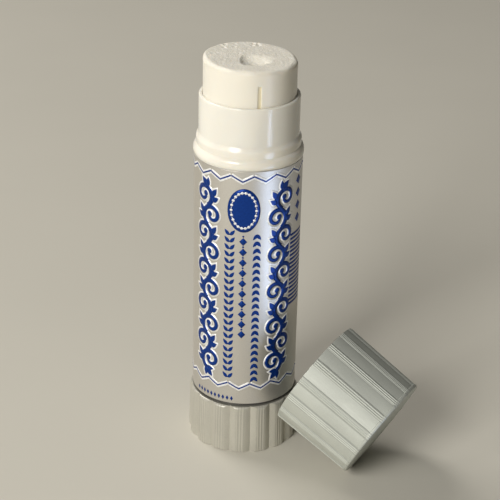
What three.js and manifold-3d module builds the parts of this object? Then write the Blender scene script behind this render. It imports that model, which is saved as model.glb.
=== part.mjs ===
// Glue stick of the twist-up kind, standing open with its cap leaning on it.
//
// Millimetres, +Z up. The origin is the centre of the knob's flat underside, on the table.
// The side that faces the viewer is -Y.

import * as THREE from 'three';
import { mergeVertices } from 'three/addons/utils/BufferGeometryUtils.js';
import Module from 'manifold-3d';

const wasm = await Module();
wasm.setup();

// Driving dimensions: adhesive
const glueRadius = 12.98;
const glueLength = 80.5;
const topTilt = 2.3;
const topTiltBearing = 160;
const dimpleRadius = 4.2;
const dimpleDepth = 1.3;
const dimpleOffset = { x: 1.8, y: -2.6 };

// Driving dimensions: barrel
const barrelWall = 1.0;
const barrelFootHeight = 3.0;
const barrelFloorHeight = 8.0;
const barrelFloorThickness = 1.4;
const neckHeight = 14.7;
const collarHeight = 2.9;
const collarLipHeight = 0.55;
const collarLipStep = 0.12;
const neckBeadHeight = 1.8;
const neckBeadProud = 0.5;
const neckBeadHalfWidth = 1.4;
const beadCrestHalfWidth = 0.3;
const rimRounding = 0.4;
const sleeveStopProud = 0.35;
const sleeveStopThickness = 0.45;
const snapGrooveHeight = 9.8;
const snapGrooveDepth = 0.4;
const guideRibCount = 2;
const guideRibBearing = -78.2;
const guideRibWidth = 0.8;
const guideRibDepth = 0.7;
const guideRibTopSetback = 1.5;

// Driving dimensions: printed sleeve round the barrel
const sleeveWall = 0.9;
const sleeveLength = 74.4;
const sleeveEdge = 0.12;
const sleeveToKnobGap = 1.0;

// Driving dimensions: twist knob
const knobHeight = 15.4;
const knobWall = 1.9;
const knobDraft = 1.3;
const knobFloor = 2.0;
const knobHubRadius = 6.6;
const knobFootEdge = 0.4;
const knobTopEdge = 0.9;
const knobSnapWidth = 0.8;
const knobSnapProud = 0.5;
const knobRidgeWidth = 2.6;
const knobValleyDepth = 0.6;

// Driving dimensions: lead screw
const threadLead = 10.0;
const threadHand = -1;
const threadCrestRadius = 3.9;
const threadRootRadius = 2.9;
const threadCrestHalfAngle = 30;
const threadBaseHalfAngle = 60;
const threadLength = 85.1;
const flangeRadius = 7.0;
const flangeThickness = 1.2;
const driveHexRadius = 3.8;
const hexSides = 6;

// Driving dimensions: carrier that lifts the adhesive
const carrierHubRadius = 6.4;
const carrierHubLength = 14.0;
const carrierSkirtLength = 7.0;
const carrierPlatform = 1.2;
const carrierCupHeight = 4.8;
const carrierWall = 0.8;
const carrierWebCount = 4;
const carrierWebThickness = 1.0;
const turnsAdvanced = 7 / 6;

// Driving dimensions: cap, measured from its closed face to its open rim
const capLength = 25.7;
const capWall = 1.6;
const capNeckClearance = 0.5;
const capDraft = 1.4;
const capBoreDraft = 1.2;
const capTopThickness = 1.5;
const capEdgeLength = 0.6;
const capEdgeDepth = 0.5;
const capRimEdge = 0.3;
const capSnapFromRim = 2.9;
const capSnapProud = 0.6;
const capSnapHalfWidth = 0.8;
const capPlugWall = 0.8;
const capPlugDepth = 1.2;
const capPlugTip = 0.25;
const capRidgeWidth = 2.1;
const capFlankWidth = 0.25;
const capPanelDepth = 0.45;
const capPanelSetback = 0.9;

// Gripping ridges round the knob and round the cap
const ridgeCount = 16;

// Driving dimensions: how the cap lies
const capAxisBearing = 150.0;
const capAxisRise = 28.0;
const capBearing = -30.6;
const capRoll = 2.2;

// Clearances between neighbouring pieces
const glueClearance = 0.32;
const sleeveClearance = 0.3;
const seatClearance = 0.3;
const turningClearance = 0.4;
const threadClearance = 0.4;
const leanClearance = 0.3;

// How far a cutting tool runs past the faces that it cuts
const cutOverrun = 1.0;
const flankOverrun = 0.2;

// Smoothness of round faces
const outerSegments = 64;
const innerSegments = 48;
const edgeSteps = 3;
const screwSegmentAngle = 30;
const nutSegmentAngle = 18;

const radians = (degrees) => THREE.MathUtils.degToRad(degrees);
const fullTurn = 2 * Math.PI;

// Sizes that follow from the driving dimensions
const boreRadius = glueRadius + glueClearance;
const barrelRadius = boreRadius + barrelWall;
const sleeveBoreRadius = barrelRadius + sleeveClearance;
const sleeveRadius = sleeveBoreRadius + sleeveWall;
const collarRadius = sleeveRadius;

const sleeveBottom = knobHeight + sleeveToKnobGap;
const sleeveTop = sleeveBottom + sleeveLength;
const collarBottom = sleeveTop + seatClearance;
const collarTop = collarBottom + collarHeight;
const neckTop = collarTop + neckHeight;

const barrelFloorTop = barrelFloorHeight + barrelFloorThickness;
const knobBoreRadius = barrelRadius + turningClearance;
const knobBaseRadius = knobBoreRadius + knobWall;
const hubTop = barrelFloorHeight - seatClearance;
const flangeBottom = barrelFloorTop + seatClearance;
const flangeTop = flangeBottom + flangeThickness;
const screwTop = flangeTop + threadLength;
const driveHoleRadius = driveHexRadius + turningClearance;

const advance = threadLead * turnsAdvanced;
const carrierBottom = flangeTop + seatClearance + advance;
const platformBottom = carrierBottom + carrierHubLength;
const platformTop = platformBottom + carrierPlatform;
const cupTop = platformTop + carrierCupHeight;
const glueFoot = platformTop + seatClearance;
const glueTop = glueFoot + glueLength;

const capBoreRadius = barrelRadius + neckBeadProud + capNeckClearance;
const capRimRadius = capBoreRadius + capWall;

// Turns a closed three.js geometry into a solid that can be joined and cut
function solidOf(geometry) {
  geometry.deleteAttribute('normal');
  geometry.deleteAttribute('uv');
  const merged = mergeVertices(geometry, 1e-4);
  const index = merged.index.array;
  const triangles = [];
  for (let i = 0; i < index.length; i += 3) {
    const [a, b, c] = [index[i], index[i + 1], index[i + 2]];
    if (a !== b && b !== c && c !== a) {
      triangles.push(a, b, c);
    }
  }
  return new wasm.Manifold(new wasm.Mesh({
    numProp: 3,
    vertProperties: new Float32Array(merged.attributes.position.array),
    triVerts: new Uint32Array(triangles),
  }));
}

function geometryOf(solid) {
  const { vertProperties, triVerts } = solid.getMesh();
  const geometry = new THREE.BufferGeometry();
  geometry.setAttribute('position', new THREE.BufferAttribute(new Float32Array(vertProperties), 3));
  geometry.setIndex(new THREE.BufferAttribute(new Uint32Array(triVerts), 1));
  geometry.computeVertexNormals();
  return geometry;
}

function named(name, solid, material) {
  const mesh = new THREE.Mesh(geometryOf(solid), material);
  mesh.name = name;
  return mesh;
}

// Solid of revolution about Z. The profile is a list of [radius, height] and runs from axis to
// axis, or is closed here where it stays off the axis.
function revolve(profile, segments) {
  const points = profile.map(([radius, height]) => new THREE.Vector2(radius, height));
  const onAxis = profile[0][0] === 0;
  if (THREE.ShapeUtils.area(points) < 0) {
    points.reverse();
  }
  if (!onAxis) {
    points.push(points[0].clone());
  }
  const geometry = new THREE.LatheGeometry(points, segments);
  geometry.rotateX(Math.PI / 2);
  return solidOf(geometry);
}

// Upright cylinder or prism between two heights
function column(radius, bottom, top, sides) {
  const geometry = new THREE.CylinderGeometry(radius, radius, top - bottom, sides);
  geometry.rotateX(Math.PI / 2);
  geometry.translate(0, 0, (bottom + top) / 2);
  return solidOf(geometry);
}

// Box that sticks out from the axis at a bearing, between two radii and two heights
function radialBar({ width, inner, outer, bottom, top, bearing }) {
  const geometry = new THREE.BoxGeometry(outer - inner, width, top - bottom);
  geometry.translate((inner + outer) / 2, 0, (bottom + top) / 2);
  geometry.rotateZ(radians(bearing));
  return solidOf(geometry);
}

// Points on a quarter of an ellipse about a centre, from the first angle to the last
function quarterRound(centre, radial, axial, fromDegrees, toDegrees) {
  const points = [];
  for (let step = 0; step <= edgeSteps; step += 1) {
    const angle = radians(fromDegrees + ((toDegrees - fromDegrees) * step) / edgeSteps);
    points.push([centre[0] + radial * Math.cos(angle), centre[1] + axial * Math.sin(angle)]);
  }
  return points;
}

const ridgePitch = fullTurn / ridgeCount;

// Outline that cuts the wall between two ridges, centred on +X. The flanks run from the ridges
// down to a floor, or meet in a crease where no flank width is given.
function grooveSection({ wallRadius, ridgeWidth, flankWidth, depth }) {
  const mouthHalf = ridgePitch / 2 - ridgeWidth / 2 / wallRadius;
  const floorHalf = flankWidth === undefined ? 0 : mouthHalf - flankWidth / wallRadius;
  const floorRadius = wallRadius - depth;
  const steps = floorHalf > 0 ? edgeSteps : 0;
  const floor = [];
  for (let step = 0; step <= steps; step += 1) {
    const angle = steps > 0 ? floorHalf - (2 * floorHalf * step) / steps : 0;
    floor.push(new THREE.Vector2(floorRadius * Math.cos(angle), floorRadius * Math.sin(angle)));
  }
  const ridgeEdge = new THREE.Vector2(wallRadius * Math.cos(mouthHalf), wallRadius * Math.sin(mouthHalf));
  const outer = ridgeEdge.clone().sub(floor[0]).multiplyScalar(flankOverrun).add(ridgeEdge);
  return new THREE.Shape([
    new THREE.Vector2(outer.x, -outer.y),
    new THREE.Vector2(wallRadius + cutOverrun, 0),
    outer,
    ...floor,
  ]);
}

// Cuts the section between all the ridges, along a wall that leans by the draft
function cutGrooves(body, { section, draft, bottom, top }) {
  const lean = new THREE.Matrix4().makeShear(0, 0, 0, 0, Math.tan(radians(draft)), 0);
  let result = body;
  for (let i = 0; i < ridgeCount; i += 1) {
    const cutter = new THREE.ExtrudeGeometry(section, { depth: top - bottom, bevelEnabled: false });
    cutter.translate(0, 0, bottom);
    cutter.applyMatrix4(lean);
    cutter.rotateZ(-Math.PI / 2 + ridgePitch * (i + 0.5));
    result = result.subtract(solidOf(cutter));
  }
  return result;
}

// Points on an arc about the origin, no further apart than the segment angle
function arcPoints(radius, fromDegrees, toDegrees, segmentAngle) {
  const count = Math.ceil((toDegrees - fromDegrees) / segmentAngle);
  const points = [];
  for (let i = 0; i <= count; i += 1) {
    const angle = radians(fromDegrees + ((toDegrees - fromDegrees) * i) / count);
    points.push(new THREE.Vector2(radius * Math.cos(angle), radius * Math.sin(angle)));
  }
  return points;
}

// Helical thread: a section with one lobe, extruded and then twisted about Z.
// grow widens the lobe on every side, which makes the cutter for the matching nut.
function helicalThread({ bottom, top, grow, segmentAngle }) {
  const growAngle = (360 * grow) / threadLead;
  const crest = threadCrestRadius + grow;
  const root = threadRootRadius + grow;
  const crestHalf = threadCrestHalfAngle + growAngle;
  const baseHalf = threadBaseHalfAngle + growAngle;
  const corners = [
    ...arcPoints(crest, -crestHalf, crestHalf, segmentAngle),
    ...arcPoints(root, baseHalf, 360 - baseHalf, segmentAngle),
  ];
  const section = new THREE.Shape(corners);
  const steps = Math.ceil(((top - bottom) / threadLead) * (360 / segmentAngle));
  const geometry = new THREE.ExtrudeGeometry(section, { depth: top - bottom, steps, bevelEnabled: false });
  geometry.translate(0, 0, bottom);
  const position = geometry.attributes.position;
  const point = new THREE.Vector3();
  const axis = new THREE.Vector3(0, 0, 1);
  for (let i = 0; i < position.count; i += 1) {
    point.fromBufferAttribute(position, i);
    point.applyAxisAngle(axis, (threadHand * fullTurn * point.z) / threadLead);
    position.setXYZ(i, point.x, point.y, point.z);
  }
  return solidOf(geometry);
}

function guideRibs(extraWidth, extraDepth, bottom, top) {
  const ribs = [];
  for (let i = 0; i < guideRibCount; i += 1) {
    ribs.push(radialBar({
      width: guideRibWidth + 2 * extraWidth,
      inner: boreRadius - guideRibDepth - extraDepth,
      outer: boreRadius + barrelWall / 2,
      bottom,
      top,
      bearing: guideRibBearing + (360 * i) / guideRibCount,
    }));
  }
  return ribs;
}

// White moulded barrel: open neck with a bead, rounded collar, straight tube, floor with a hole
function makeBarrel() {
  const collarSkin = collarRadius - collarLipStep;
  const lipTop = collarBottom + collarLipHeight;
  const beadCentre = collarTop + neckBeadHeight;
  const beadRadius = barrelRadius + neckBeadProud;
  const stopTop = sleeveBottom - seatClearance;
  const stopBottom = stopTop - sleeveStopThickness;
  const stopRadius = sleeveBoreRadius + sleeveStopProud;
  const grooveHalf = knobSnapWidth / 2 + seatClearance;
  const grooveRadius = barrelRadius - snapGrooveDepth;
  let body = revolve([
    [driveHoleRadius, barrelFloorHeight],
    [boreRadius, barrelFloorHeight],
    [boreRadius, barrelFootHeight],
    [barrelRadius - rimRounding, barrelFootHeight],
    [barrelRadius, barrelFootHeight + rimRounding],
    [barrelRadius, snapGrooveHeight - grooveHalf],
    [grooveRadius, snapGrooveHeight - grooveHalf],
    [grooveRadius, snapGrooveHeight + grooveHalf],
    [barrelRadius, snapGrooveHeight + grooveHalf],
    [barrelRadius, stopBottom],
    [stopRadius, stopBottom],
    [stopRadius, stopTop],
    [barrelRadius, stopTop],
    [barrelRadius, collarBottom],
    [collarRadius, collarBottom],
    [collarRadius, lipTop],
    ...quarterRound([barrelRadius, lipTop], collarSkin - barrelRadius, collarTop - lipTop, 0, 90),
    [barrelRadius, beadCentre - neckBeadHalfWidth],
    [beadRadius, beadCentre - beadCrestHalfWidth],
    [beadRadius, beadCentre + beadCrestHalfWidth],
    [barrelRadius, beadCentre + neckBeadHalfWidth],
    ...quarterRound([barrelRadius - rimRounding, neckTop - rimRounding], rimRounding, rimRounding, 0, 90),
    [boreRadius + rimRounding / 2, neckTop],
    [boreRadius, neckTop - rimRounding / 2],
    [boreRadius, barrelFloorTop],
    [driveHoleRadius, barrelFloorTop],
  ], innerSegments);
  for (const rib of guideRibs(0, 0, barrelFloorTop - seatClearance, neckTop - guideRibTopSetback)) {
    body = body.add(rib);
  }
  return named('barrel', body, new THREE.MeshStandardMaterial({ color: 0xf0ebdd, roughness: 0.28 }));
}

// Printed silver sleeve round the barrel, between its collar and its stop ring
function makeSleeve() {
  const body = revolve([
    [sleeveBoreRadius, sleeveBottom],
    [sleeveRadius - sleeveEdge, sleeveBottom],
    [sleeveRadius, sleeveBottom + sleeveEdge],
    [sleeveRadius, sleeveTop - sleeveEdge],
    [sleeveRadius - sleeveEdge, sleeveTop],
    [sleeveBoreRadius, sleeveTop],
  ], outerSegments);
  return named('printed_sleeve', body, new THREE.MeshStandardMaterial({
    color: 0xb4b0a4, roughness: 0.35, metalness: 0.6,
  }));
}

// Fluted knob: floor, outer wall with a snap rib, and a hub with a hexagonal socket
function makeKnob() {
  const topRadius = knobBaseRadius - knobHeight * Math.tan(radians(knobDraft));
  const snapRadius = knobBoreRadius - knobSnapProud;
  const snapHalf = knobSnapWidth / 2;
  const socketRadius = driveHexRadius + seatClearance / Math.cos(Math.PI / hexSides);
  let body = revolve([
    [0, 0],
    [knobBaseRadius - knobFootEdge, 0],
    [knobBaseRadius, knobFootEdge],
    ...quarterRound([topRadius - knobTopEdge, knobHeight - knobTopEdge], knobTopEdge, knobTopEdge, 0, 90),
    [knobBoreRadius, knobHeight],
    [knobBoreRadius, snapGrooveHeight + snapHalf + knobSnapProud],
    [snapRadius, snapGrooveHeight + snapHalf],
    [snapRadius, snapGrooveHeight - snapHalf],
    [knobBoreRadius, snapGrooveHeight - snapHalf - knobSnapProud],
    [knobBoreRadius, knobFloor],
    [knobHubRadius, knobFloor],
    [knobHubRadius, hubTop],
    [0, hubTop],
  ], outerSegments);
  body = body.subtract(column(socketRadius, knobFloor, hubTop + cutOverrun, hexSides));
  body = cutGrooves(body, {
    section: grooveSection({
      wallRadius: knobBaseRadius,
      ridgeWidth: knobRidgeWidth,
      depth: knobValleyDepth,
    }),
    draft: -knobDraft,
    bottom: -cutOverrun,
    top: knobHeight + cutOverrun,
  });
  return named('twist_knob', body, new THREE.MeshStandardMaterial({
    color: 0xa9a595, roughness: 0.42, metalness: 0.35,
  }));
}

// Lead screw: thread, flange that rests on the barrel floor, hexagonal foot in the knob
function makeLeadScrew() {
  const thread = helicalThread({
    bottom: flangeBottom + flangeThickness / 2,
    top: screwTop,
    grow: 0,
    segmentAngle: screwSegmentAngle,
  });
  const flange = column(flangeRadius, flangeBottom, flangeTop, innerSegments / 2);
  const footBottom = knobFloor + seatClearance;
  const foot = column(driveHexRadius, footBottom, flangeBottom + flangeThickness / 2, hexSides);
  return named('lead_screw', thread.add(flange).add(foot), new THREE.MeshStandardMaterial({
    color: 0xf2efe6, roughness: 0.4,
  }));
}

// Carrier: threaded hub, platform, skirt below it and cup above it, notched for the guide ribs
function makeCarrier() {
  const skirtBottom = platformBottom - carrierSkirtLength;
  const wallRadius = glueRadius - carrierWall;
  let body = revolve([
    [0, carrierBottom],
    [carrierHubRadius, carrierBottom],
    [carrierHubRadius, platformBottom],
    [wallRadius, platformBottom],
    [wallRadius, skirtBottom],
    [glueRadius, skirtBottom],
    [glueRadius, cupTop],
    [wallRadius, cupTop],
    [wallRadius, platformTop],
    [0, platformTop],
  ], innerSegments);
  for (let i = 0; i < carrierWebCount; i += 1) {
    body = body.add(radialBar({
      width: carrierWebThickness,
      inner: carrierHubRadius - carrierWebThickness,
      outer: glueRadius - carrierWall / 2,
      bottom: skirtBottom,
      top: platformBottom + carrierPlatform / 2,
      bearing: guideRibBearing + (360 * (i + 0.5)) / carrierWebCount,
    }));
  }
  const notchBottom = skirtBottom - cutOverrun;
  for (const notch of guideRibs(seatClearance, seatClearance, notchBottom, cupTop + cutOverrun)) {
    body = body.subtract(notch);
  }
  body = body.subtract(helicalThread({
    bottom: carrierBottom - cutOverrun,
    top: platformTop + cutOverrun,
    grow: threadClearance,
    segmentAngle: nutSegmentAngle,
  }));
  return named('carrier', body, new THREE.MeshStandardMaterial({ color: 0xf2efe6, roughness: 0.4 }));
}

// Adhesive stick: foot in the cup, bore for the screw, grooves left by the guide ribs, worn top
function makeGlue() {
  const footRadius = glueRadius - carrierWall - seatClearance;
  const screwBoreRadius = threadCrestRadius + threadClearance + seatClearance;
  const screwBoreTop = screwTop + advance + seatClearance;
  const blankTop = glueTop + glueRadius;
  let body = revolve([
    [0, screwBoreTop],
    [screwBoreRadius, screwBoreTop],
    [screwBoreRadius, glueFoot],
    [footRadius, glueFoot],
    [footRadius, cupTop + seatClearance],
    [glueRadius, cupTop + seatClearance],
    [glueRadius, blankTop],
    [0, blankTop],
  ], innerSegments);
  const grooveBottom = glueFoot - cutOverrun;
  for (const groove of guideRibs(seatClearance, seatClearance, grooveBottom, blankTop + cutOverrun)) {
    body = body.subtract(groove);
  }
  // The worn top is highest at the side that the tilt's bearing points to
  const slice = new THREE.BoxGeometry(4 * glueRadius, 4 * glueRadius, 2 * glueRadius);
  slice.translate(0, 0, glueRadius);
  slice.rotateY(radians(-topTilt));
  slice.rotateZ(radians(topTiltBearing));
  slice.translate(0, 0, glueTop);
  const ballRadius = (dimpleRadius ** 2 + dimpleDepth ** 2) / (2 * dimpleDepth);
  const ball = new THREE.SphereGeometry(ballRadius, innerSegments / 2, innerSegments / 2);
  ball.rotateX(Math.PI / 2);
  ball.translate(dimpleOffset.x, dimpleOffset.y, glueTop - dimpleDepth + ballRadius);
  body = body.subtract(solidOf(slice)).subtract(solidOf(ball));
  return named('glue', body, new THREE.MeshStandardMaterial({ color: 0xf1ebda, roughness: 0.55 }));
}

// Cap in its own frame: closed face at height 0, open rim at capLength
function makeCap() {
  const closedRadius = capRimRadius - capLength * Math.tan(radians(capDraft));
  const edgeRadius = closedRadius + capEdgeLength * Math.tan(radians(capDraft));
  const boreAt = (height) => capBoreRadius - (capLength - height) * Math.tan(radians(capBoreDraft));
  const snapHeight = capLength - capSnapFromRim;
  const plugRadius = boreRadius - capBoreRadius + boreAt(capTopThickness);
  const seatedNeckTop = capLength - (neckTop - collarTop) - seatClearance;
  const plugTip = seatedNeckTop + capPlugDepth;
  let body = revolve([
    [0, 0],
    ...quarterRound([edgeRadius - capEdgeDepth, capEdgeLength], capEdgeDepth, capEdgeLength, -90, 0),
    [capRimRadius, capLength - capRimEdge],
    [capRimRadius - capRimEdge, capLength],
    [capBoreRadius + capRimEdge, capLength],
    [capBoreRadius, capLength - capRimEdge],
    [boreAt(snapHeight + capSnapHalfWidth), snapHeight + capSnapHalfWidth],
    [boreAt(snapHeight) - capSnapProud, snapHeight],
    [boreAt(snapHeight - capSnapHalfWidth), snapHeight - capSnapHalfWidth],
    [boreAt(capTopThickness), capTopThickness],
    [plugRadius, capTopThickness],
    [plugRadius, plugTip - capPlugTip],
    [plugRadius - capPlugTip, plugTip],
    [plugRadius - capPlugWall, plugTip],
    [plugRadius - capPlugWall, capTopThickness],
    [0, capTopThickness],
  ], outerSegments);
  body = cutGrooves(body, {
    section: grooveSection({
      wallRadius: closedRadius,
      ridgeWidth: capRidgeWidth,
      flankWidth: capFlankWidth,
      depth: capPanelDepth,
    }),
    draft: capDraft,
    bottom: capPanelSetback,
    top: capLength + cutOverrun,
  });
  return named('cap', body, new THREE.MeshStandardMaterial({
    color: 0xadaa9e, roughness: 0.42, metalness: 0.35,
  }));
}

// Largest radius of the standing stick at a height
function stickRadius(height) {
  if (height <= knobHeight) {
    return knobBaseRadius - height * Math.tan(radians(knobDraft));
  }
  return height <= collarTop ? collarRadius : barrelRadius + neckBeadProud;
}

// Lays the cap on its closed edge and slides it along its bearing until it leans on the stick
function leanCap(cap) {
  const roll = new THREE.Group();
  roll.rotation.z = radians(capRoll);
  roll.add(cap);
  const rise = new THREE.Group();
  rise.rotation.y = radians(90 - capAxisRise);
  rise.add(roll);
  const lean = new THREE.Group();
  lean.rotation.z = radians(capAxisBearing);
  lean.add(rise);
  lean.updateMatrixWorld(true);

  const towards = new THREE.Vector2(Math.cos(radians(capBearing)), Math.sin(radians(capBearing)));
  const position = cap.geometry.attributes.position;
  const point = new THREE.Vector3();
  const corners = [];
  for (let i = 0; i < position.count; i += 1) {
    corners.push(point.fromBufferAttribute(position, i).applyMatrix4(cap.matrixWorld).clone());
  }
  const lowest = Math.min(...corners.map((corner) => corner.z));
  let distance = 0;
  for (const corner of corners) {
    const reach = stickRadius(corner.z - lowest) + leanClearance;
    const along = corner.x * towards.x + corner.y * towards.y;
    const across = corner.x * towards.y - corner.y * towards.x;
    if (Math.abs(across) < reach) {
      distance = Math.max(distance, Math.sqrt(reach ** 2 - across ** 2) - along);
    }
  }
  lean.position.set(distance * towards.x, distance * towards.y, -lowest);
  return lean;
}

const glueStick = new THREE.Group();
glueStick.add(makeBarrel(), makeSleeve(), makeKnob(), makeLeadScrew(), makeCarrier(), makeGlue());
glueStick.add(leanCap(makeCap()));

export default glueStick;
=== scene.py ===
# Glue stick, standing open with its cap leaning on it: mouldings, printed film, adhesive and stage.
# Metres, +Z up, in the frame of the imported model. The side that faces the viewer is -Y.
# A bearing is an angle round the stick, from -Y towards +X unless its description says from +X.

import math

import bmesh
import bpy
import numpy as np
from mathutils import Matrix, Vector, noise


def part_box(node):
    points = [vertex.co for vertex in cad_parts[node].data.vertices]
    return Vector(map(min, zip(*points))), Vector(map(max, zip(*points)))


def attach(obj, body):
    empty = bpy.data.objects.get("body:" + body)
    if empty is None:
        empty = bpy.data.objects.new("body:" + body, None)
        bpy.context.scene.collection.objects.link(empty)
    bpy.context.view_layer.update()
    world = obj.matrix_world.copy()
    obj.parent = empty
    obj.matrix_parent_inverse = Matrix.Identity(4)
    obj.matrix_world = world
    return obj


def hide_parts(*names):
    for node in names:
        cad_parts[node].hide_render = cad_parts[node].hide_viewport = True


bl_info = {
    "name": "Glue Stick",
    "version": (1, 0, 0),
    "blender": (4, 5, 0),
    "location": "3D View > Sidebar > Glue Stick",
    "description": "Builds the mouldings, the printed film, the adhesive and the stage of a glue stick",
    "category": "Object",
}

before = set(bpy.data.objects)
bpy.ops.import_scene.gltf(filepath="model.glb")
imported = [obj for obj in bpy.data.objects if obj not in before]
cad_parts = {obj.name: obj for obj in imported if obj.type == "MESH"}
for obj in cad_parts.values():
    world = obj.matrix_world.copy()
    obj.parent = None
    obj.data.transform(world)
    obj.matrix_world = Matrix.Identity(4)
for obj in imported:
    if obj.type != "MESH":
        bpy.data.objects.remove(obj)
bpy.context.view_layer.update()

MM = 0.001
NEAR = 0.01 * MM
FULL_TURN = 2 * math.pi
SMOOTH_UP_TO = math.radians(32)

film_low, film_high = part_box("printed_sleeve")
knob_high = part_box("twist_knob")[1]
barrel_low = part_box("barrel")[0]
glue_low, glue_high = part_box("glue")


def linear(hex_colour):
    """Linear RGB of an sRGB hex colour."""
    channels = [int(hex_colour[i:i + 2], 16) / 255 for i in (0, 2, 4)]
    return tuple(c / 12.92 if c <= 0.04045 else ((c + 0.055) / 1.055) ** 2.4 for c in channels)


def length(name, description, millimetres, lowest=0.0):
    """Property for a length, given here in millimetres."""
    return bpy.props.FloatProperty(
        name=name, description=description, default=millimetres * MM, min=lowest * MM,
        precision=5, subtype="DISTANCE", unit="LENGTH",
    )


def bearing(name, description, degrees):
    """Property for an angle, given here in degrees."""
    return bpy.props.FloatProperty(
        name=name, description=description, default=math.radians(degrees),
        subtype="ANGLE", unit="ROTATION",
    )


def count(name, description, default):
    """Property for a number of copies."""
    return bpy.props.IntProperty(name=name, description=description, default=default, min=1)


def colour(name, description, hex_colour):
    """Property for a colour, given here as sRGB hex."""
    return bpy.props.FloatVectorProperty(
        name=name, description=description, default=linear(hex_colour),
        size=3, min=0.0, max=1.0, subtype="COLOR",
    )


class BarrelSizes(bpy.types.PropertyGroup):
    """White moulded barrel with its neck and collar."""

    bore_radius: length("Bore radius", "Inside of the barrel", 13.3)
    wall: length("Wall", "Thickness of the neck's wall", 1.0)
    neck_height: length("Neck height", "From the collar to the rim", 14.7)
    collar_height: length("Collar height", "Collar between film and neck", 2.9)
    collar_proud: length("Collar proud", "How far the collar stands out from the film", 0.28)
    shoulder_height: length("Shoulder height", "Rounded top of the collar", 1.75)
    bead_height: length("Bead height", "Crest of the snap bead above the collar", 2.0)
    bead_proud: length("Bead proud", "How far the snap bead stands out", 0.68)
    bead_dip: length("Bead dip", "How far the dip under the bead stands out", 0.58)
    bead_half_width: length("Bead half width", "Half the width of the snap bead", 1.75)
    rim_rounding: length("Rim rounding", "Outer rounding of the rim", 0.4)
    floor_height: length("Floor height", "Underside of the floor", 8.0)
    floor_thickness: length("Floor thickness", "Floor over the knob", 1.4)
    drive_hole_radius: length("Drive hole radius", "Hole for the screw's foot", 4.2)
    groove_height: length("Groove height", "Middle of the snap groove", 9.8)
    groove_half: length("Groove half", "Half the width of the snap groove", 0.7)
    groove_depth: length("Groove depth", "Depth of the snap groove", 0.4)
    stop_proud: length("Stop proud", "Stop ring under the film", 0.3)
    stop_thickness: length("Stop thickness", "Height of the stop ring", 0.45)
    collar_gap: length("Collar gap", "Gap between the film and the collar", 0.08)
    seat_gap: length("Seat gap", "Gap between the film and the stop ring", 0.3)
    rib_bearing: bearing("Rib bearing", "First guide rib, from +X", -78.2)
    rib_width: length("Rib width", "Width of a guide rib", 0.8)
    rib_depth: length("Rib depth", "How far a guide rib stands into the bore", 0.3)
    rib_setback: length("Rib setback", "From the rim to the top of a guide rib", 6.6)


class KnobSizes(bpy.types.PropertyGroup):
    """Fluted knob at the foot."""

    base_radius: length("Base radius", "Outer radius at the foot", 16.6)
    bore_radius: length("Bore radius", "Inside of the knob", 14.7)
    draft: bearing("Draft", "How much the wall leans in", 1.3)
    floor: length("Floor", "Thickness of the floor", 2.0)
    foot_edge: length("Foot edge", "Bevel at the foot", 0.4)
    top_edge: length("Top edge", "Rounding at the top", 0.9)
    ridges: count("Ridges", "Ridges round the knob", 16)
    ridge_width: length("Ridge width", "Width of one ridge", 2.6)
    valley_depth: length("Valley depth", "Depth of the crease between ridges", 0.85)
    line_depth: length("Line depth", "Depth of the fine lines on a ridge", 0.07)
    phase: bearing("Phase", "Turn of the ridges about the axis", -3.1)
    snap_height: length("Snap height", "Middle of the snap rib", 9.8)
    snap_half: length("Snap half", "Half the width of the snap rib", 0.4)
    snap_proud: length("Snap proud", "How far the snap rib stands in", 0.5)
    hub_radius: length("Hub radius", "Hub round the socket", 6.6)
    hub_top: length("Hub top", "Height of the hub", 7.7)
    socket_radius: length("Socket radius", "Hexagonal socket, across corners", 4.15)


class CapSizes(bpy.types.PropertyGroup):
    """Fluted cap, from its closed face to its open rim."""

    length: length("Length", "From the closed face to the rim", 25.7)
    rim_radius: length("Rim radius", "Outer radius at the open rim", 16.88)
    bore_radius: length("Bore radius", "Inside of the open rim", 15.3)
    draft: bearing("Draft", "How much the outer wall narrows", 1.4)
    bore_draft: bearing("Bore draft", "How much the bore narrows", 1.2)
    top_thickness: length("Top thickness", "Thickness of the closed end", 1.5)
    edge_length: length("Edge length", "Rounding of the closed end, along the axis", 0.6)
    edge_depth: length("Edge depth", "Rounding of the closed end, across", 0.5)
    rim_edge: length("Rim edge", "Bevel of the open rim", 0.3)
    ridges: count("Ridges", "Ridges round the cap", 16)
    ridge_width: length("Ridge width", "Width of one ridge", 1.9)
    flank_width: length("Flank width", "Slope from a ridge to a panel", 0.25)
    panel_depth: length("Panel depth", "How far a panel lies below the ridges", 0.3)
    panel_setback: length("Panel setback", "From the closed face to the panels", 0.9)
    line_depth: length("Line depth", "Depth of the fine lines on a ridge", 0.13)
    snap_from_rim: length("Snap from rim", "Middle of the snap ring", 2.9)
    snap_proud: length("Snap proud", "How far the snap ring stands in", 0.6)
    snap_half: length("Snap half", "Half the width of the snap ring", 0.8)
    plug_radius: length("Plug radius", "Outer radius of the sealing skirt", 12.79)
    plug_wall: length("Plug wall", "Thickness of the sealing skirt", 0.8)
    plug_tip: length("Plug tip", "Tip of the sealing skirt", 11.9)
    axis_bearing: bearing("Axis bearing", "Direction of the axis, from +X", 150.0)
    axis_rise: bearing("Axis rise", "Rise of the axis above the table", 28.0)
    roll: bearing("Roll", "Turn about the cap's own axis", 2.2)


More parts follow.
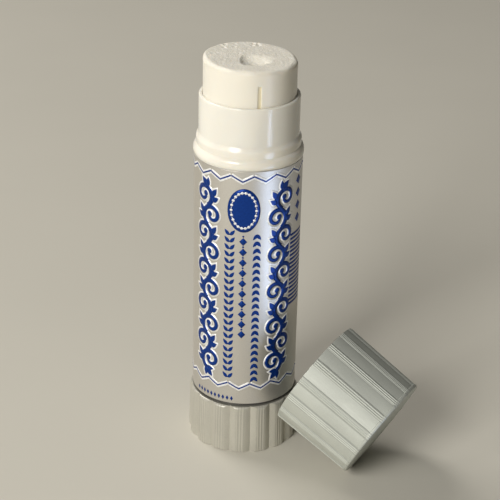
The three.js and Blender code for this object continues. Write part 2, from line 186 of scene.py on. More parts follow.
class AdhesiveSizes(bpy.types.PropertyGroup):
    """Cast adhesive with its worn top."""

    radius: length("Radius", "Radius of the adhesive", 13.22)
    top: length("Top", "Height of the middle of the top", 118.87)
    tilt: bearing("Tilt", "How much the worn top leans", 2.3)
    tilt_bearing: bearing("Tilt bearing", "Where the top is highest, from +X", 160)
    rounding: length("Rounding", "Worn edge of the top", 1.05)
    dimple_radius: length("Dimple radius", "Radius of the dimple", 4.9)
    dimple_depth: length("Dimple depth", "Depth of the dimple", 1.3)
    dimple_x: length("Dimple X", "Place of the dimple", 1.8, -13)
    dimple_y: length("Dimple Y", "Place of the dimple", -2.6, -13)
    cup_top: length("Cup top", "Top of the carrier's cup", 42.87)
    foot_radius: length("Foot radius", "Radius inside the cup", 11.88)
    bore_radius: length("Bore radius", "Bore for the screw", 4.6)
    bore_top: length("Bore top", "Top of the bore", 107.97)
    groove_start: length("Groove start", "From the edge to the ribs' grooves", 2.6)
    groove_width: length("Groove width", "Width of a rib's groove", 1.0)
    groove_depth: length("Groove depth", "Depth of a rib's groove", 0.3)
    pit_count: count("Pits", "Small open bubbles in the top", 90)
    bubble_count: count("Bubbles", "Larger rimmed bubbles near the back edge", 16)
    seed: bpy.props.IntProperty(name="Seed", description="Seed of the pits and bubbles", default=7)


class PrintSizes(bpy.types.PropertyGroup):
    """Ink on the film."""

    ink_thickness: length("Ink thickness", "Thickness of one layer of ink", 0.012)
    outline: length("Outline", "White round the navy shapes", 0.52)
    zigzag_periods: count("Zigzag periods", "Teeth of the zigzag in one turn", 15)
    zigzag_bearing: bearing("Zigzag bearing", "First low point of the zigzag", -5.2)
    zigzag_height: length("Zigzag height", "From a low point to a high point", 1.7)
    zigzag_top: length("Zigzag top", "Middle of the upper zigzag", 88.57)
    zigzag_bottom: length("Zigzag bottom", "Middle of the lower zigzag", 22.41)
    zigzag_line: length("Zigzag line", "Width of the zigzag's line", 0.44)
    scroll_spread: bearing("Scroll spread", "From the oval's middle to a scroll", 42.3)
    scroll_bottom: length("Scroll bottom", "Foot of the scrolls", 26.3)
    scroll_period: length("Scroll period", "Height of one wave of a scroll", 11.6)
    scroll_waves: count("Scroll waves", "Waves in one scroll", 5)
    scroll_sway: length("Scroll sway", "How far the stem sways", 1.9)
    stem_width: length("Stem width", "Width of the scroll's stem", 1.5)
    medallion_bearing: bearing("Medallion bearing", "Middle of the oval", -3.6)
    medallion_height: length("Medallion height", "Middle of the oval", 79.05)
    medallion_half_width: length("Medallion half width", "Half the oval's width", 4.7)
    medallion_half_height: length("Medallion half height", "Half the oval's height", 6.65)
    medallion_dots: count("Medallion dots", "White dots in the oval's ring", 22)
    column_spacing: bearing("Column spacing", "Between the narrow columns", 14.5)
    column_top: length("Column top", "Head of the narrow columns", 71.5)
    lozenge_pitch: length("Lozenge pitch", "From one lozenge to the next", 3.3)
    lozenge_count: count("Lozenges", "Lozenges in the middle column", 10)
    sprig_pitch: length("Sprig pitch", "From one sprig to the next", 2.2)
    sprig_count: count("Sprigs", "Sprigs in a side column", 22)
    bar_bearing: bearing("Bar bearing", "Middle of the plain bars", 66.5)
    bar_width: length("Bar width", "Length of one plain bar", 7.2)
    bar_bottom: length("Bar bottom", "Lowest of the plain bars", 46.9)
    bar_pitch: length("Bar pitch", "From one bar to the next", 1.3)
    bar_count: count("Bars", "Plain bars at the edge of the print", 18)
    edge_lozenge_bottom: length("Edge lozenge bottom", "Lowest of the lozenges over the bars", 73.5)
    edge_lozenge_pitch: length("Edge lozenge pitch", "From one of them to the next", 3.9)
    edge_lozenge_count: count("Edge lozenges", "Lozenges over the bars", 4)
    foot_row_bearing: bearing("Foot row bearing", "First small lozenge of the foot row", -58)
    foot_row_height: length("Foot row height", "Middle of the foot row", 18.0)
    foot_row_count: count("Foot row", "Small lozenges in the foot row", 10)


class Finishes(bpy.types.PropertyGroup):
    """Colours of the finishes."""

    moulding: colour("White moulding", "Barrel and neck", "f2ede1")
    film: colour("Film", "Silver film of the sleeve", "d0ccc4")
    knob: colour("Silver knob", "Silver-pigmented knob", "bbb8ac")
    cap: colour("Silver cap", "Silver-pigmented cap, a shade cooler", "bbbeb5")
    natural: colour("Natural moulding", "Screw and carrier", "ebe7dc")
    adhesive: colour("Adhesive", "Cast adhesive", "efeadd")
    adhesive_stain: colour("Adhesive stain", "Where the adhesive has dried", "e1dccd")
    groove_tint: colour("Groove tint", "Adhesive in the ribs' grooves", "e2d3a2")
    navy: colour("Navy ink", "Dark print", "0b3888")
    white: colour("White ink", "Outlines of the print", "f8f8f6")
    floor: colour("Floor", "Plain floor", "cfcbbf")


class StageSizes(bpy.types.PropertyGroup):
    """Camera, lamps and floor."""

    camera_distance: length("Camera distance", "From the stick's axis, along the floor", 398.11)
    camera_height: length("Camera height", "Above the floor", 252.16)
    camera_pitch: bearing("Camera pitch", "How far the camera looks down", 25.8164)
    camera_yaw: bearing("Camera yaw", "How far the camera looks to the right", 0.1488)
    camera_roll: bearing("Camera roll", "How far the camera leans", 1.301)
    lens: bpy.props.FloatProperty(name="Lens", description="Focal length in millimetres on a 36 mm sensor",
                                  default=108.72)
    floor_size: length("Floor size", "Width of the floor", 8000)


def setting(group):
    """The settings of one group of the current scene."""
    return getattr(bpy.context.scene, "glue_stick_" + group)


# Mesh code

def arc(centre, radial, axial, start, end, steps):
    """Points on an elliptic arc in the plane of radius and height, with angles in degrees."""
    angles = np.radians(np.linspace(start, end, steps + 1))
    return [(centre[0] + radial * math.cos(a), centre[1] + axial * math.sin(a)) for a in angles]


def grid_mesh(name, points, wrap_rows=False, wrap_columns=False):
    """Mesh over a grid of points, indexed by row, column and axis."""
    rows, columns = points.shape[:2]
    row = np.arange(rows if wrap_rows else rows - 1)[:, None]
    column = np.arange(columns if wrap_columns else columns - 1)[None, :]
    next_row = (row + 1) % rows
    next_column = (column + 1) % columns
    corners = [row * columns + column, row * columns + next_column,
               next_row * columns + next_column, next_row * columns + column]
    faces = np.stack(corners, axis=-1).reshape(-1, 4)
    mesh = bpy.data.meshes.new(name)
    mesh.from_pydata(points.reshape(-1, 3).tolist(), [], faces.tolist())
    return mesh


def turned_grid(radius, height, angles):
    """Grid of points from radii and heights per row and column, and the angle of each column."""
    axes = np.broadcast_arrays(radius * np.cos(angles), radius * np.sin(angles), height)
    return np.stack(axes, axis=-1)


def row_of(columns, radius, height):
    """One row of a grid, with a radius and a height for each column."""
    return np.stack([np.broadcast_to(radius, columns.shape), np.broadcast_to(height, columns.shape)])


def lathe(name, profile):
    """Closed shell turned about Z. The profile is a closed loop, anticlockwise with height up."""
    columns = 256
    outline = np.array(profile)
    angles = np.arange(columns) * FULL_TURN / columns
    points = turned_grid(outline[:, :1], outline[:, 1:], angles)
    return grid_mesh(name, points, wrap_rows=True, wrap_columns=True)


def band(radius, proud, low, high):
    """Part of a profile: a square step that stands out of a wall between two heights."""
    return [(radius, low), (radius + proud, low), (radius + proud, high), (radius, high)]


def weld(mesh, distance=1e-7):
    """Merges doubled points and drops the faces that had no area."""
    work = bmesh.new()
    work.from_mesh(mesh)
    bmesh.ops.remove_doubles(work, verts=work.verts, dist=distance)
    bmesh.ops.dissolve_degenerate(work, edges=work.edges, dist=distance)
    work.to_mesh(mesh)
    work.free()


def joined(name, meshes):
    """One mesh from several."""
    points = []
    faces = []
    for mesh in meshes:
        start = len(points)
        points += [tuple(v.co) for v in mesh.vertices]
        faces += [tuple(start + v for v in face.vertices) for face in mesh.polygons]
    result = bpy.data.meshes.new(name)
    result.from_pydata(points, [], faces)
    for mesh in meshes:
        bpy.data.meshes.remove(mesh)
    return result


def block(name, centre_radius, size, bottom, top, angle):
    """Upright bar that sticks out from the axis at an angle from +X, with size (radial, across)."""
    radial, across = size[0] / 2, size[1] / 2
    corners = [(-radial, -across), (radial, -across), (radial, across), (-radial, across)]
    points = [(centre_radius + x, y, z) for z in (bottom, top) for x, y in corners]
    faces = [(3, 2, 1, 0), (4, 5, 6, 7), (0, 1, 5, 4), (1, 2, 6, 5), (2, 3, 7, 6), (3, 0, 4, 7)]
    mesh = bpy.data.meshes.new(name)
    mesh.from_pydata(points, [], faces)
    mesh.transform(Matrix.Rotation(angle, 4, "Z"))
    return mesh


def new_object(name, mesh, material=None):
    """Object at the origin with smooth faces and sharp creases."""
    mesh.shade_smooth()
    mesh.set_sharp_from_angle(angle=SMOOTH_UP_TO)
    if material:
        mesh.materials.clear()
        mesh.materials.append(material)
    piece = bpy.data.objects.new(name, mesh)
    bpy.context.scene.collection.objects.link(piece)
    return piece


def settle(piece, name):
    """Gives the piece its evaluated mesh and takes the modifiers off."""
    depsgraph = bpy.context.evaluated_depsgraph_get()
    mesh = bpy.data.meshes.new_from_object(
        piece.evaluated_get(depsgraph), preserve_all_data_layers=True, depsgraph=depsgraph)
    mesh.name = name
    piece.modifiers.clear()
    piece.data = mesh
    return piece


def take_mesh(piece):
    """The piece's mesh, without its object."""
    mesh = piece.data
    bpy.data.objects.remove(piece)
    return mesh


def place_in_frame(piece, body, slot, *replaced):
    """Makes a finished piece ride on a body and hides the nodes it stands for. The slot is not used."""
    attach(piece, body)
    if replaced:
        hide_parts(*replaced)


def points_of(mesh):
    """Places of a mesh's points, one in each row."""
    places = np.empty(len(mesh.vertices) * 3, dtype=np.float32)
    mesh.vertices.foreach_get("co", places)
    return places.reshape(-1, 3)


def store(mesh, name, values):
    """Keeps a value for each point, for the material."""
    layer = mesh.attributes.new(name, "FLOAT", "POINT")
    layer.data.foreach_set("value", np.asarray(values, dtype=np.float32))


def store_local_place(mesh):
    """Keeps each point's place before the piece is leaned, for its material."""
    layer = mesh.attributes.new("local_place", "FLOAT_VECTOR", "POINT")
    layer.data.foreach_set("vector", points_of(mesh).ravel())


# Node trees

def add_node(tree, kind, inputs=None, **settings):
    """Adds a node with its settings. Inputs maps a socket to a value, to a node, which gives its
    first output, or to another output of a node."""
    node = tree.nodes.new(kind)
    for name, value in settings.items():
        setattr(node, name, value)
    for key, value in (inputs or {}).items():
        source = value.outputs[0] if isinstance(value, bpy.types.Node) else value
        if isinstance(source, bpy.types.NodeSocket):
            tree.links.new(source, node.inputs[key])
        else:
            node.inputs[key].default_value = value
    return node


def new_tree(name, sockets):
    """Geometry tree with its named inputs, and the sockets that give them."""
    tree = bpy.data.node_groups.new(name, "GeometryNodeTree")
    tree.is_modifier = True
    for socket, kind in {"Geometry": "Geometry", **sockets}.items():
        tree.interface.new_socket(socket, in_out="INPUT", socket_type="NodeSocket" + kind)
    tree.interface.new_socket("Geometry", in_out="OUTPUT", socket_type="NodeSocketGeometry")
    return tree, add_node(tree, "NodeGroupInput").outputs


def repeated(tree, motif, places, turn=(0, 0, 0)):
    """Copies of a motif at each place, as real geometry."""
    copies = add_node(tree, "GeometryNodeInstanceOnPoints", {
        "Points": places, "Instance": motif, "Rotation": turn,
    })
    return add_node(tree, "GeometryNodeRealizeInstances", {0: copies})


def finished(tree, geometry, material):
    """Paints the geometry and ends the tree with it."""
    painted = add_node(tree, "GeometryNodeSetMaterial", {"Geometry": geometry, "Material": material})
    add_node(tree, "NodeGroupOutput", {0: painted})
    return tree


def use_tree(piece, tree, values):
    """Puts the tree on the piece, with a value for each named input."""
    modifier = piece.modifiers.new(tree.name, "NODES")
    modifier.node_group = tree
    for item in tree.interface.items_tree:
        if item.in_out == "INPUT" and item.name in values:
            modifier[item.identifier] = values[item.name]


def round_axis_tree():
    """Repeats one sector of a moulding round Z and closes the seams."""
    tree, given = new_tree("Repeat round the axis", {"Count": "Int", "Seam": "Float", "Material": "Material"})
    places = add_node(tree, "GeometryNodeMeshLine", {"Count": given["Count"], "Offset": (0, 0, 0)})
    index = add_node(tree, "GeometryNodeInputIndex")
    share = add_node(tree, "ShaderNodeMath", {0: FULL_TURN, 1: given["Count"]}, operation="DIVIDE")
    angle = add_node(tree, "ShaderNodeMath", {0: index, 1: share}, operation="MULTIPLY")
    turn = add_node(tree, "ShaderNodeCombineXYZ", {"Z": angle})
    copies = repeated(tree, given["Geometry"], places, turn)
    closed = add_node(tree, "GeometryNodeMergeByDistance", {"Geometry": copies, "Distance": given["Seam"]})
    return finished(tree, closed, given["Material"])


def wrapped_print_tree():
    """Repeats a flat motif along two steps and wraps it round the film.
    In the flat motif X runs round the stick from -Y towards +X, and Y runs up."""
    tree, given = new_tree("Wrap print round the film", {
        "Count": "Int", "Step": "Vector", "Rows": "Int", "Row step": "Vector", "Start": "Vector",
        "Radius": "Float", "Material": "Material",
    })
    places = add_node(tree, "GeometryNodeMeshLine", {
        "Count": given["Count"], "Start Location": given["Start"], "Offset": given["Step"],
    })
    row = repeated(tree, given["Geometry"], places)
    rows = add_node(tree, "GeometryNodeMeshLine", {"Count": given["Rows"], "Offset": given["Row step"]})
    flat = repeated(tree, row, rows)
    position = add_node(tree, "GeometryNodeInputPosition")
    place = add_node(tree, "ShaderNodeSeparateXYZ", {0: position}).outputs
    angle = add_node(tree, "ShaderNodeMath", {0: place["X"], 1: given["Radius"]}, operation="DIVIDE")
    radius = add_node(tree, "ShaderNodeMath", {0: given["Radius"], 1: place["Z"]}, operation="ADD")
    sine = add_node(tree, "ShaderNodeMath", {0: angle}, operation="SINE")
    cosine = add_node(tree, "ShaderNodeMath", {0: angle}, operation="COSINE")
    right = add_node(tree, "ShaderNodeMath", {0: sine, 1: radius}, operation="MULTIPLY")
    back = add_node(tree, "ShaderNodeMath", {0: cosine, 1: radius}, operation="MULTIPLY")
    front = add_node(tree, "ShaderNodeMath", {0: back, 1: -1.0}, operation="MULTIPLY")
    wrapped = add_node(tree, "ShaderNodeCombineXYZ", {"X": right, "Y": front, "Z": place["Y"]})
    bent = add_node(tree, "GeometryNodeSetPosition", {"Geometry": flat, "Position": wrapped})
    return finished(tree, bent, given["Material"])


# Materials

def new_material(name):
    """Empty node material, and the tree to fill."""
    material = bpy.data.materials.new(name)
    material.use_nodes = True
    material.node_tree.nodes.clear()
    return material, material.node_tree


def rgba(rgb, gain=1.0):
    """Colour with an alpha of one."""
    return (*[min(1.0, c * gain) for c in rgb], 1.0)


def pattern(tree, size, detail=3.0, along=1.0, roughness=0.5, leaned=False):
    """Noise with features of a real size in metres, drawn out along the axis where along is less than
    one. On a piece that may be leaned it reads the coordinates kept from before."""
    if leaned:
        place = add_node(tree, "ShaderNodeAttribute", attribute_name="local_place").outputs["Vector"]
    else:
        place = add_node(tree, "ShaderNodeTexCoord").outputs["Object"]
    stretched = add_node(tree, "ShaderNodeMapping", {"Vector": place, "Scale": (1, 1, along)})
    return add_node(tree, "ShaderNodeTexNoise", {
        "Vector": stretched, "Scale": 1 / size, "Detail": detail, "Roughness": roughness,
    })


# Sockets of a Map Range node: 0 is the value, 1 and 2 are its range, 3 and 4 the range it is given.
# Sockets of a Mix node for colours: 0 is the share, 6 and 7 are the colours, and output 2 the result.

def tinted(tree, value, first, second, low=0.3, high=0.7, least=0.0, most=1.0):
    """Goes from the first colour towards the second while the value goes from low to high."""
    share = add_node(tree, "ShaderNodeMapRange", {0: value, 1: low, 2: high, 3: least, 4: most})
    mix = add_node(tree, "ShaderNodeMix", {0: share, 6: first, 7: second}, data_type="RGBA")
    return mix.outputs[2]


def milky(weight, depth):
    """Shader inputs for light that goes some way in."""
    return {"Subsurface Weight": weight, "Subsurface Radius": (1.0, 0.9, 0.75), "Subsurface Scale": depth}


def shade(tree, inputs, rough=None, relief=None):
    """Adds the principled shader and connects it to the output. Rough is a pattern with the roughness
    at its low and at its high places. Relief is a pattern with its real depth and its strength."""
    inputs = dict(inputs)
    if rough:
        value, first, last = rough
        inputs["Roughness"] = add_node(tree, "ShaderNodeMapRange", {
            0: value, 1: 0.3, 2: 0.7, 3: first, 4: last,
        })
    if relief:
        height, depth, strength = relief
        inputs["Normal"] = add_node(tree, "ShaderNodeBump", {
            "Height": height, "Distance": depth, "Strength": strength,
        })
    shader = add_node(tree, "ShaderNodeBsdfPrincipled", inputs)
    add_node(tree, "ShaderNodeOutputMaterial", {"Surface": shader})


def glossy_polypropylene():
    """Injection-moulded white polypropylene from a polished mould: bright, soft-edged gloss, and
    light that goes a little way in, so that thin walls glow."""
    material, tree = new_material("glossy_moulded_polypropylene")
    base = setting("finishes").moulding
    waves = pattern(tree, 9 * MM, detail=2.0, along=0.35)
    grain = pattern(tree, 0.8 * MM, detail=2.0, along=0.12)
    # Painted shade: where the seam is marked, the white is darkened towards 0.15 of itself.
    seam_shade = add_node(tree, "ShaderNodeAttribute", attribute_name="painted_seam_shade").outputs["Fac"]
    tone = tinted(tree, waves, rgba(base, 0.97), rgba(base), low=0.35, high=0.65)
    shade(tree, {
        "Base Color": tinted(tree, seam_shade, tone, rgba(base, 0.15), low=0, high=1),
        "IOR": 1.49,
        **milky(0.5, 1.8 * MM),
    }, rough=(grain, 0.15, 0.21), relief=(waves, 0.05 * MM, 0.6))
    return material


def satin_silver_film():
    """Silver-printed plastic film: fine metallic flake in a satin lacquer, which gives a broad
    bright band where it faces the light and goes dark beside it."""
    material, tree = new_material("satin_silver_film")
    base = setting("finishes").film
    # Real flake is about 0.03 mm across, too fine to show, so it is drawn six times as coarse
    flake = pattern(tree, 0.18 * MM, detail=2.0)
    cloud = pattern(tree, 14 * MM, along=0.4)
    shade(tree, {
        "Base Color": tinted(tree, flake, rgba(base, 0.93), rgba(base, 1.05)),
        "Metallic": 0.75,
    }, rough=(cloud, 0.46, 0.52), relief=(cloud, 0.08 * MM, 0.5))
    return material


def silver_pigmented_moulding(name, base, roughness, line_highlight):
    """Polypropylene with silver pigment, moulded in a fluted cavity: satin, with fine draw lines
    along the axis. Painted highlight lightens the crests of the fine lines; painted shade darkens
    their grooves, the flanks and the knob's top face."""
    material, tree = new_material(name)
    lines = pattern(tree, 0.45 * MM, along=0.05, leaned=True)
    flow = pattern(tree, 5 * MM, detail=4.0, along=0.5, leaned=True)
    # The pigment's flake is drawn coarser than the real one, about 0.03 mm, so that it shows
    flake = pattern(tree, 0.2 * MM, detail=1.0, leaned=True)
    relief = add_node(tree, "ShaderNodeAttribute", attribute_name="painted_line_light").outputs["Fac"]
    tone = tinted(tree, flow, rgba(base, 0.92), rgba(base, 1.06))
    tone = tinted(tree, flake, tone, rgba(base, 1.3), low=0.35, high=0.75, most=0.35)
    # Painted highlight: the crests of the fine lines are lightened.
    tone = tinted(tree, relief, tone, rgba(base, 1.4), low=0.3, high=1, most=line_highlight)
    # Painted shade: the grooves between the fine lines, the flanks and the knob's top face are darkened.
    tone = tinted(tree, relief, tone, rgba(base, 0.4), low=-2, high=0, least=0.9, most=0)
    shade(tree, {
        "Base Color": tone,
        "Metallic": 0.2,
    }, rough=(lines, roughness, roughness + 0.1), relief=(lines, 0.02 * MM, 0.25))
    return material


def natural_polypropylene():
    """Uncoloured polypropylene of the inner mouldings: milky, half matt, slightly see-through."""
    material, tree = new_material("natural_polypropylene")
    base = setting("finishes").natural
    flow = pattern(tree, 4 * MM, along=0.3)
    shade(tree, {
        "Base Color": tinted(tree, flow, rgba(base, 0.94), rgba(base)),
        "IOR": 1.49,
        **milky(0.15, 1.0 * MM),
    }, rough=(flow, 0.36, 0.46))
    return material


def cast_adhesive():
    """Soap-like adhesive, cast as a stick: waxy and slightly see-through, smooth at the side where
    it met the mould and grainy where it was rubbed on paper."""
    material, tree = new_material("cast_soap_adhesive")
    finishes = setting("finishes")
    cloud = pattern(tree, 6 * MM, detail=4.0, roughness=0.6)
    grain = pattern(tree, 0.35 * MM, detail=4.0, roughness=0.6)
    place = add_node(tree, "ShaderNodeTexCoord").outputs["Object"]
    height = add_node(tree, "ShaderNodeSeparateXYZ", {0: place}).outputs["Z"]
    wear_start, wear_end = glue_high.z - 2.2 * MM, glue_high.z - 1.0 * MM
    worn = add_node(tree, "ShaderNodeMapRange", {0: height, 1: wear_start, 2: wear_end})
    dried = add_node(tree, "ShaderNodeMapRange", {0: cloud, 1: 0.42, 2: 0.7, 4: 0.45})
    stain = add_node(tree, "ShaderNodeMath", {0: dried, 1: worn}, operation="MULTIPLY")
    rubbed = add_node(tree, "ShaderNodeMapRange", {0: worn, 3: 0.1})
    depth = add_node(tree, "ShaderNodeMath", {0: grain, 1: rubbed}, operation="MULTIPLY")
    groove = add_node(tree, "ShaderNodeAttribute", attribute_name="rib_groove").outputs["Fac"]
    tone = tinted(tree, stain, rgba(finishes.adhesive), rgba(finishes.adhesive_stain), low=0, high=1)
    shade(tree, {
        "Base Color": tinted(tree, groove, tone, rgba(finishes.groove_tint), low=0, high=1, most=0.6),
        "Roughness": add_node(tree, "ShaderNodeMapRange", {0: worn, 3: 0.34, 4: 0.6}),
        "IOR": 1.46,
        **milky(0.35, 1.6 * MM),
    }, relief=(depth, 0.16 * MM, 0.9))
    return material


def ink(name, base, silver_through):
    """Flexographic ink: thin, even, a little glossier than the film and faintly mottled, with a
    share of the silver under it shining through."""
    material, tree = new_material(name)
    mottle = pattern(tree, 0.5 * MM)
    shade(tree, {
        "Base Color": tinted(tree, mottle, rgba(base, 0.88), rgba(base, 1.08)),
        "Metallic": silver_through,
        "IOR": 1.42,
        "Specular IOR Level": 0.3,
    }, rough=(mottle, 0.36, 0.44))
    return material


def plain_floor():
    """Matt painted board: even and pale, with no gloss."""
    material, tree = new_material("matt_painted_floor")
    base = setting("finishes").floor
    shade(tree, {
        "Base Color": tinted(tree, pattern(tree, 60 * MM, detail=2.0), rgba(base, 0.98), rgba(base)),
        "Roughness": 0.85,
        "Specular IOR Level": 0.2,
    })
    return material


# Flat motifs of the print: X round the stick, Y up, Z out

def flat_mesh(points, **wraps):
    """Flat mesh over a grid of (x, y) points."""
    heights = np.zeros((*points.shape[:2], 1))
    return grid_mesh("motif", np.concatenate([points, heights], axis=-1), **wraps)


def ribbon(path, half_width, across=3):
    """Flat band along a path of (x, y) points, with mitred corners and so many points across."""
    path = np.array(path, dtype=float)
    steps = np.diff(path, axis=0)
    steps /= np.linalg.norm(steps, axis=1)[:, None]
    ahead = np.concatenate([steps, steps[-1:]])
    behind = np.concatenate([steps[:1], steps])
    side = np.stack([-ahead[:, 1], ahead[:, 0]], axis=1)
    normal = ahead + behind
    normal = np.stack([-normal[:, 1], normal[:, 0]], axis=1)
    normal /= np.linalg.norm(normal, axis=1)[:, None]
    reach = half_width / np.maximum((normal * side).sum(axis=1), 0.5)
    offset = normal * reach[:, None]
    sides = np.linspace(1.0, -1.0, across)[::-1]
    return flat_mesh(path[:, None] + offset[:, None] * sides[None, :, None])


def patch(outline, rings=3):
    """Filled flat shape from an anticlockwise outline that its middle can see all of."""
    outline = np.array(outline, dtype=float)
    middle = outline.mean(axis=0)
    shares = np.linspace(0, 1, rings + 1)
    mesh = flat_mesh(middle + shares[:, None, None] * (outline - middle), wrap_columns=True)
    mesh.flip_normals()
    weld(mesh)
    return mesh


def oval(half_width, half_height, centre=(0, 0), steps=48):
    """Outline of an oval."""
    angles = np.arange(steps) * FULL_TURN / steps
    return [(centre[0] + half_width * math.cos(a), centre[1] + half_height * math.sin(a)) for a in angles]


def dot(radius, centre=(0, 0), steps=12, rings=1):
    """Filled round dot."""
    return patch(oval(radius, radius, centre, steps), rings)


def leaf(root, reach, half_width, angle, grow=0.0):
    """Outline of a pointed leaf from its root, at an angle from +X, grown all round."""
    steps = 14
    t = np.linspace(0, 1, steps + 1)
    along = -grow + t * (reach + 2.4 * grow)
    width = (half_width + grow) * np.sin(math.pi * t ** 0.75) ** 0.9
    right = np.stack([along, -width], axis=1)
    left = np.stack([along, width], axis=1)[::-1][1:-1]
    outline = np.concatenate([right, left])
    turn = np.array([[math.cos(angle), math.sin(angle)], [-math.sin(angle), math.cos(angle)]])
    return outline @ turn + np.array(root)


def bar_motif(width, height):
    """Bar across the column, in short steps so that it follows the film."""
    places = np.linspace(-width / 2, width / 2, 31)
    return ribbon(np.stack([places, np.zeros_like(places)], axis=1), height / 2)


def along_sides(corners, steps):
    """Points in even steps from corner to corner, without the last corner."""
    return [(x + (next_x - x) * s / steps, y + (next_y - y) * s / steps)
            for (x, y), (next_x, next_y) in zip(corners, corners[1:]) for s in range(steps)]


def lozenge(half_width, half_height):
    """Outline of a lozenge, with points along each side."""
    foot = (0, -half_height)
    return along_sides([foot, (half_width, 0), (0, half_height), (-half_width, 0), foot], 4)


def zigzag_motif(sizes, tooth, grow):
    """One tooth of the zigzag, from one low point to the next. Its neighbours lend it their mitres."""
    half, steps = sizes.zigzag_height / 2, 12
    corners = [(-tooth, -half), (-tooth / 2, half), (0, -half), (tooth / 2, half), (tooth, -half)]
    path = along_sides(corners, steps)
    return ribbon(path[steps:3 * steps + 1], sizes.zigzag_line / 2 + grow, across=7)


def volute(centre, start, end_radius, sweep, side):
    """Path of a curl that starts at a point and winds inwards round its centre."""
    reach = np.array(start) - np.array(centre)
    start_radius = np.linalg.norm(reach)
    start_angle = math.atan2(reach[1], side * reach[0])
    t = np.linspace(0, 1, 44)
    radius = end_radius + (start_radius - end_radius) * (1 - t) ** 1.3
    angle = start_angle + sweep * t
    return np.stack([centre[0] + side * radius * np.cos(angle), centre[1] + radius * np.sin(angle)], axis=1)


def scroll_motif(sizes, grow, mirror):
    """One wave of a leafy scroll: a swaying stem with a curl inside and two leaves outside each bend."""
    period, sway = sizes.scroll_period, sizes.scroll_sway
    curl_reach, curl_end, curl_sweep, eye = 3.6 * MM, 0.95 * MM, math.radians(442), 0.85 * MM
    leaf_half_width = 0.8 * MM
    heights = np.linspace(0, period, 49)
    stem = np.stack([sway * np.sin(FULL_TURN * heights / period), heights], axis=1)
    swell = 0.8 - 0.2 * np.cos(2 * FULL_TURN * heights / period)
    shapes = [ribbon(stem, sizes.stem_width / 2 * swell + grow)]
    for side, start in ((1, 0.0), (-1, 0.5)):
        foot = start * period
        centre = (side * (sway - curl_reach), foot + 0.275 * period)
        curl = volute(centre, (0, foot), curl_end, curl_sweep, side)
        shapes.append(ribbon(curl, np.linspace(0.76, 0.46, len(curl)) * MM + grow))
        shapes.append(dot(eye + grow, curl[-1], 24, 2))
        for share, rise, reach in ((0.16, 30, 2.5), (0.29, 58, 2.9)):
            angle = math.radians(rise if side > 0 else 180 - rise)
            root = (side * sway * 0.9, foot + share * period)
            shapes.append(patch(leaf(root, reach * MM, leaf_half_width, angle, grow)))
    motif = joined("motif", shapes)
    if mirror:
        motif.transform(Matrix.Diagonal((-1, 1, 1, 1)))
        motif.flip_normals()
    return motif


def bud_motif(grow, angle):
    """Bud that ends a scroll, pointing at an angle from +X."""
    petals = ((3.4, 1.0, 0), (2.8, 0.75, 48), (2.8, 0.75, -48))
    return joined("motif", [
        patch(leaf((0, 0), reach * MM, half_width * MM, angle + math.radians(lean), grow))
        for reach, half_width, lean in petals
    ])


def sprig_motif(side):
    """Pair of small slanted leaves with a dot, one step of a narrow column."""
    dot_radius, root_gap, reach, half_width = 0.27 * MM, 0.3 * MM, 2.2 * MM, 0.52 * MM
    shapes = [dot(dot_radius)]
    for lean in (-38, 38):
        root = (math.sin(math.radians(lean)) * root_gap, -side * root_gap)
        shapes.append(patch(leaf(root, reach, half_width, math.radians(side * 90 - lean))))
    return joined("motif", shapes)


def lozenge_motif():
    """Lozenge with a dot above it, one step of the middle column."""
    half_width, half_height, dot_radius, dot_rise = 1.15 * MM, 1.25 * MM, 0.3 * MM, 1.65 * MM
    return joined("motif", [patch(lozenge(half_width, half_height), 1), dot(dot_radius, (0, dot_rise))])


def dot_ring_motif(half_width, half_height, dots):
    """Ring of white dots inside the oval, with a small one between each two."""
    large, small = 0.42 * MM, 0.16 * MM
    places = oval(half_width, half_height, steps=2 * dots)
    return joined("motif", [dot(small if i % 2 else large, place) for i, place in enumerate(places)])


def repeats(start, count=1, step=(0, 0), rows=1, row_step=(0, 0)):
    """Where a motif starts and how it repeats, in (x, y) on the unrolled film."""
    return {
        "Start": (*start, 0.0), "Count": count, "Step": (*step, 0.0),
        "Rows": rows, "Row step": (*row_step, 0.0),
    }


def print_layer(layer, material, motifs, radius):
    """One layer of ink from its motifs, each with its repeats, as one thin wrapped piece."""
    tree = bpy.data.node_groups.get("Wrap print round the film") or wrapped_print_tree()
    meshes = []
    for motif, values in motifs:
        piece = new_object("motif", motif)
        use_tree(piece, tree, {**values, "Radius": radius, "Material": material})
        meshes.append(take_mesh(settle(piece, "motif")))
    piece = new_object(layer, joined(layer, meshes), material)
    film = piece.modifiers.new("Ink film", "SOLIDIFY")
    film.thickness = setting("print").ink_thickness
    film.offset = 1.0
    return settle(piece, layer)


# Operators

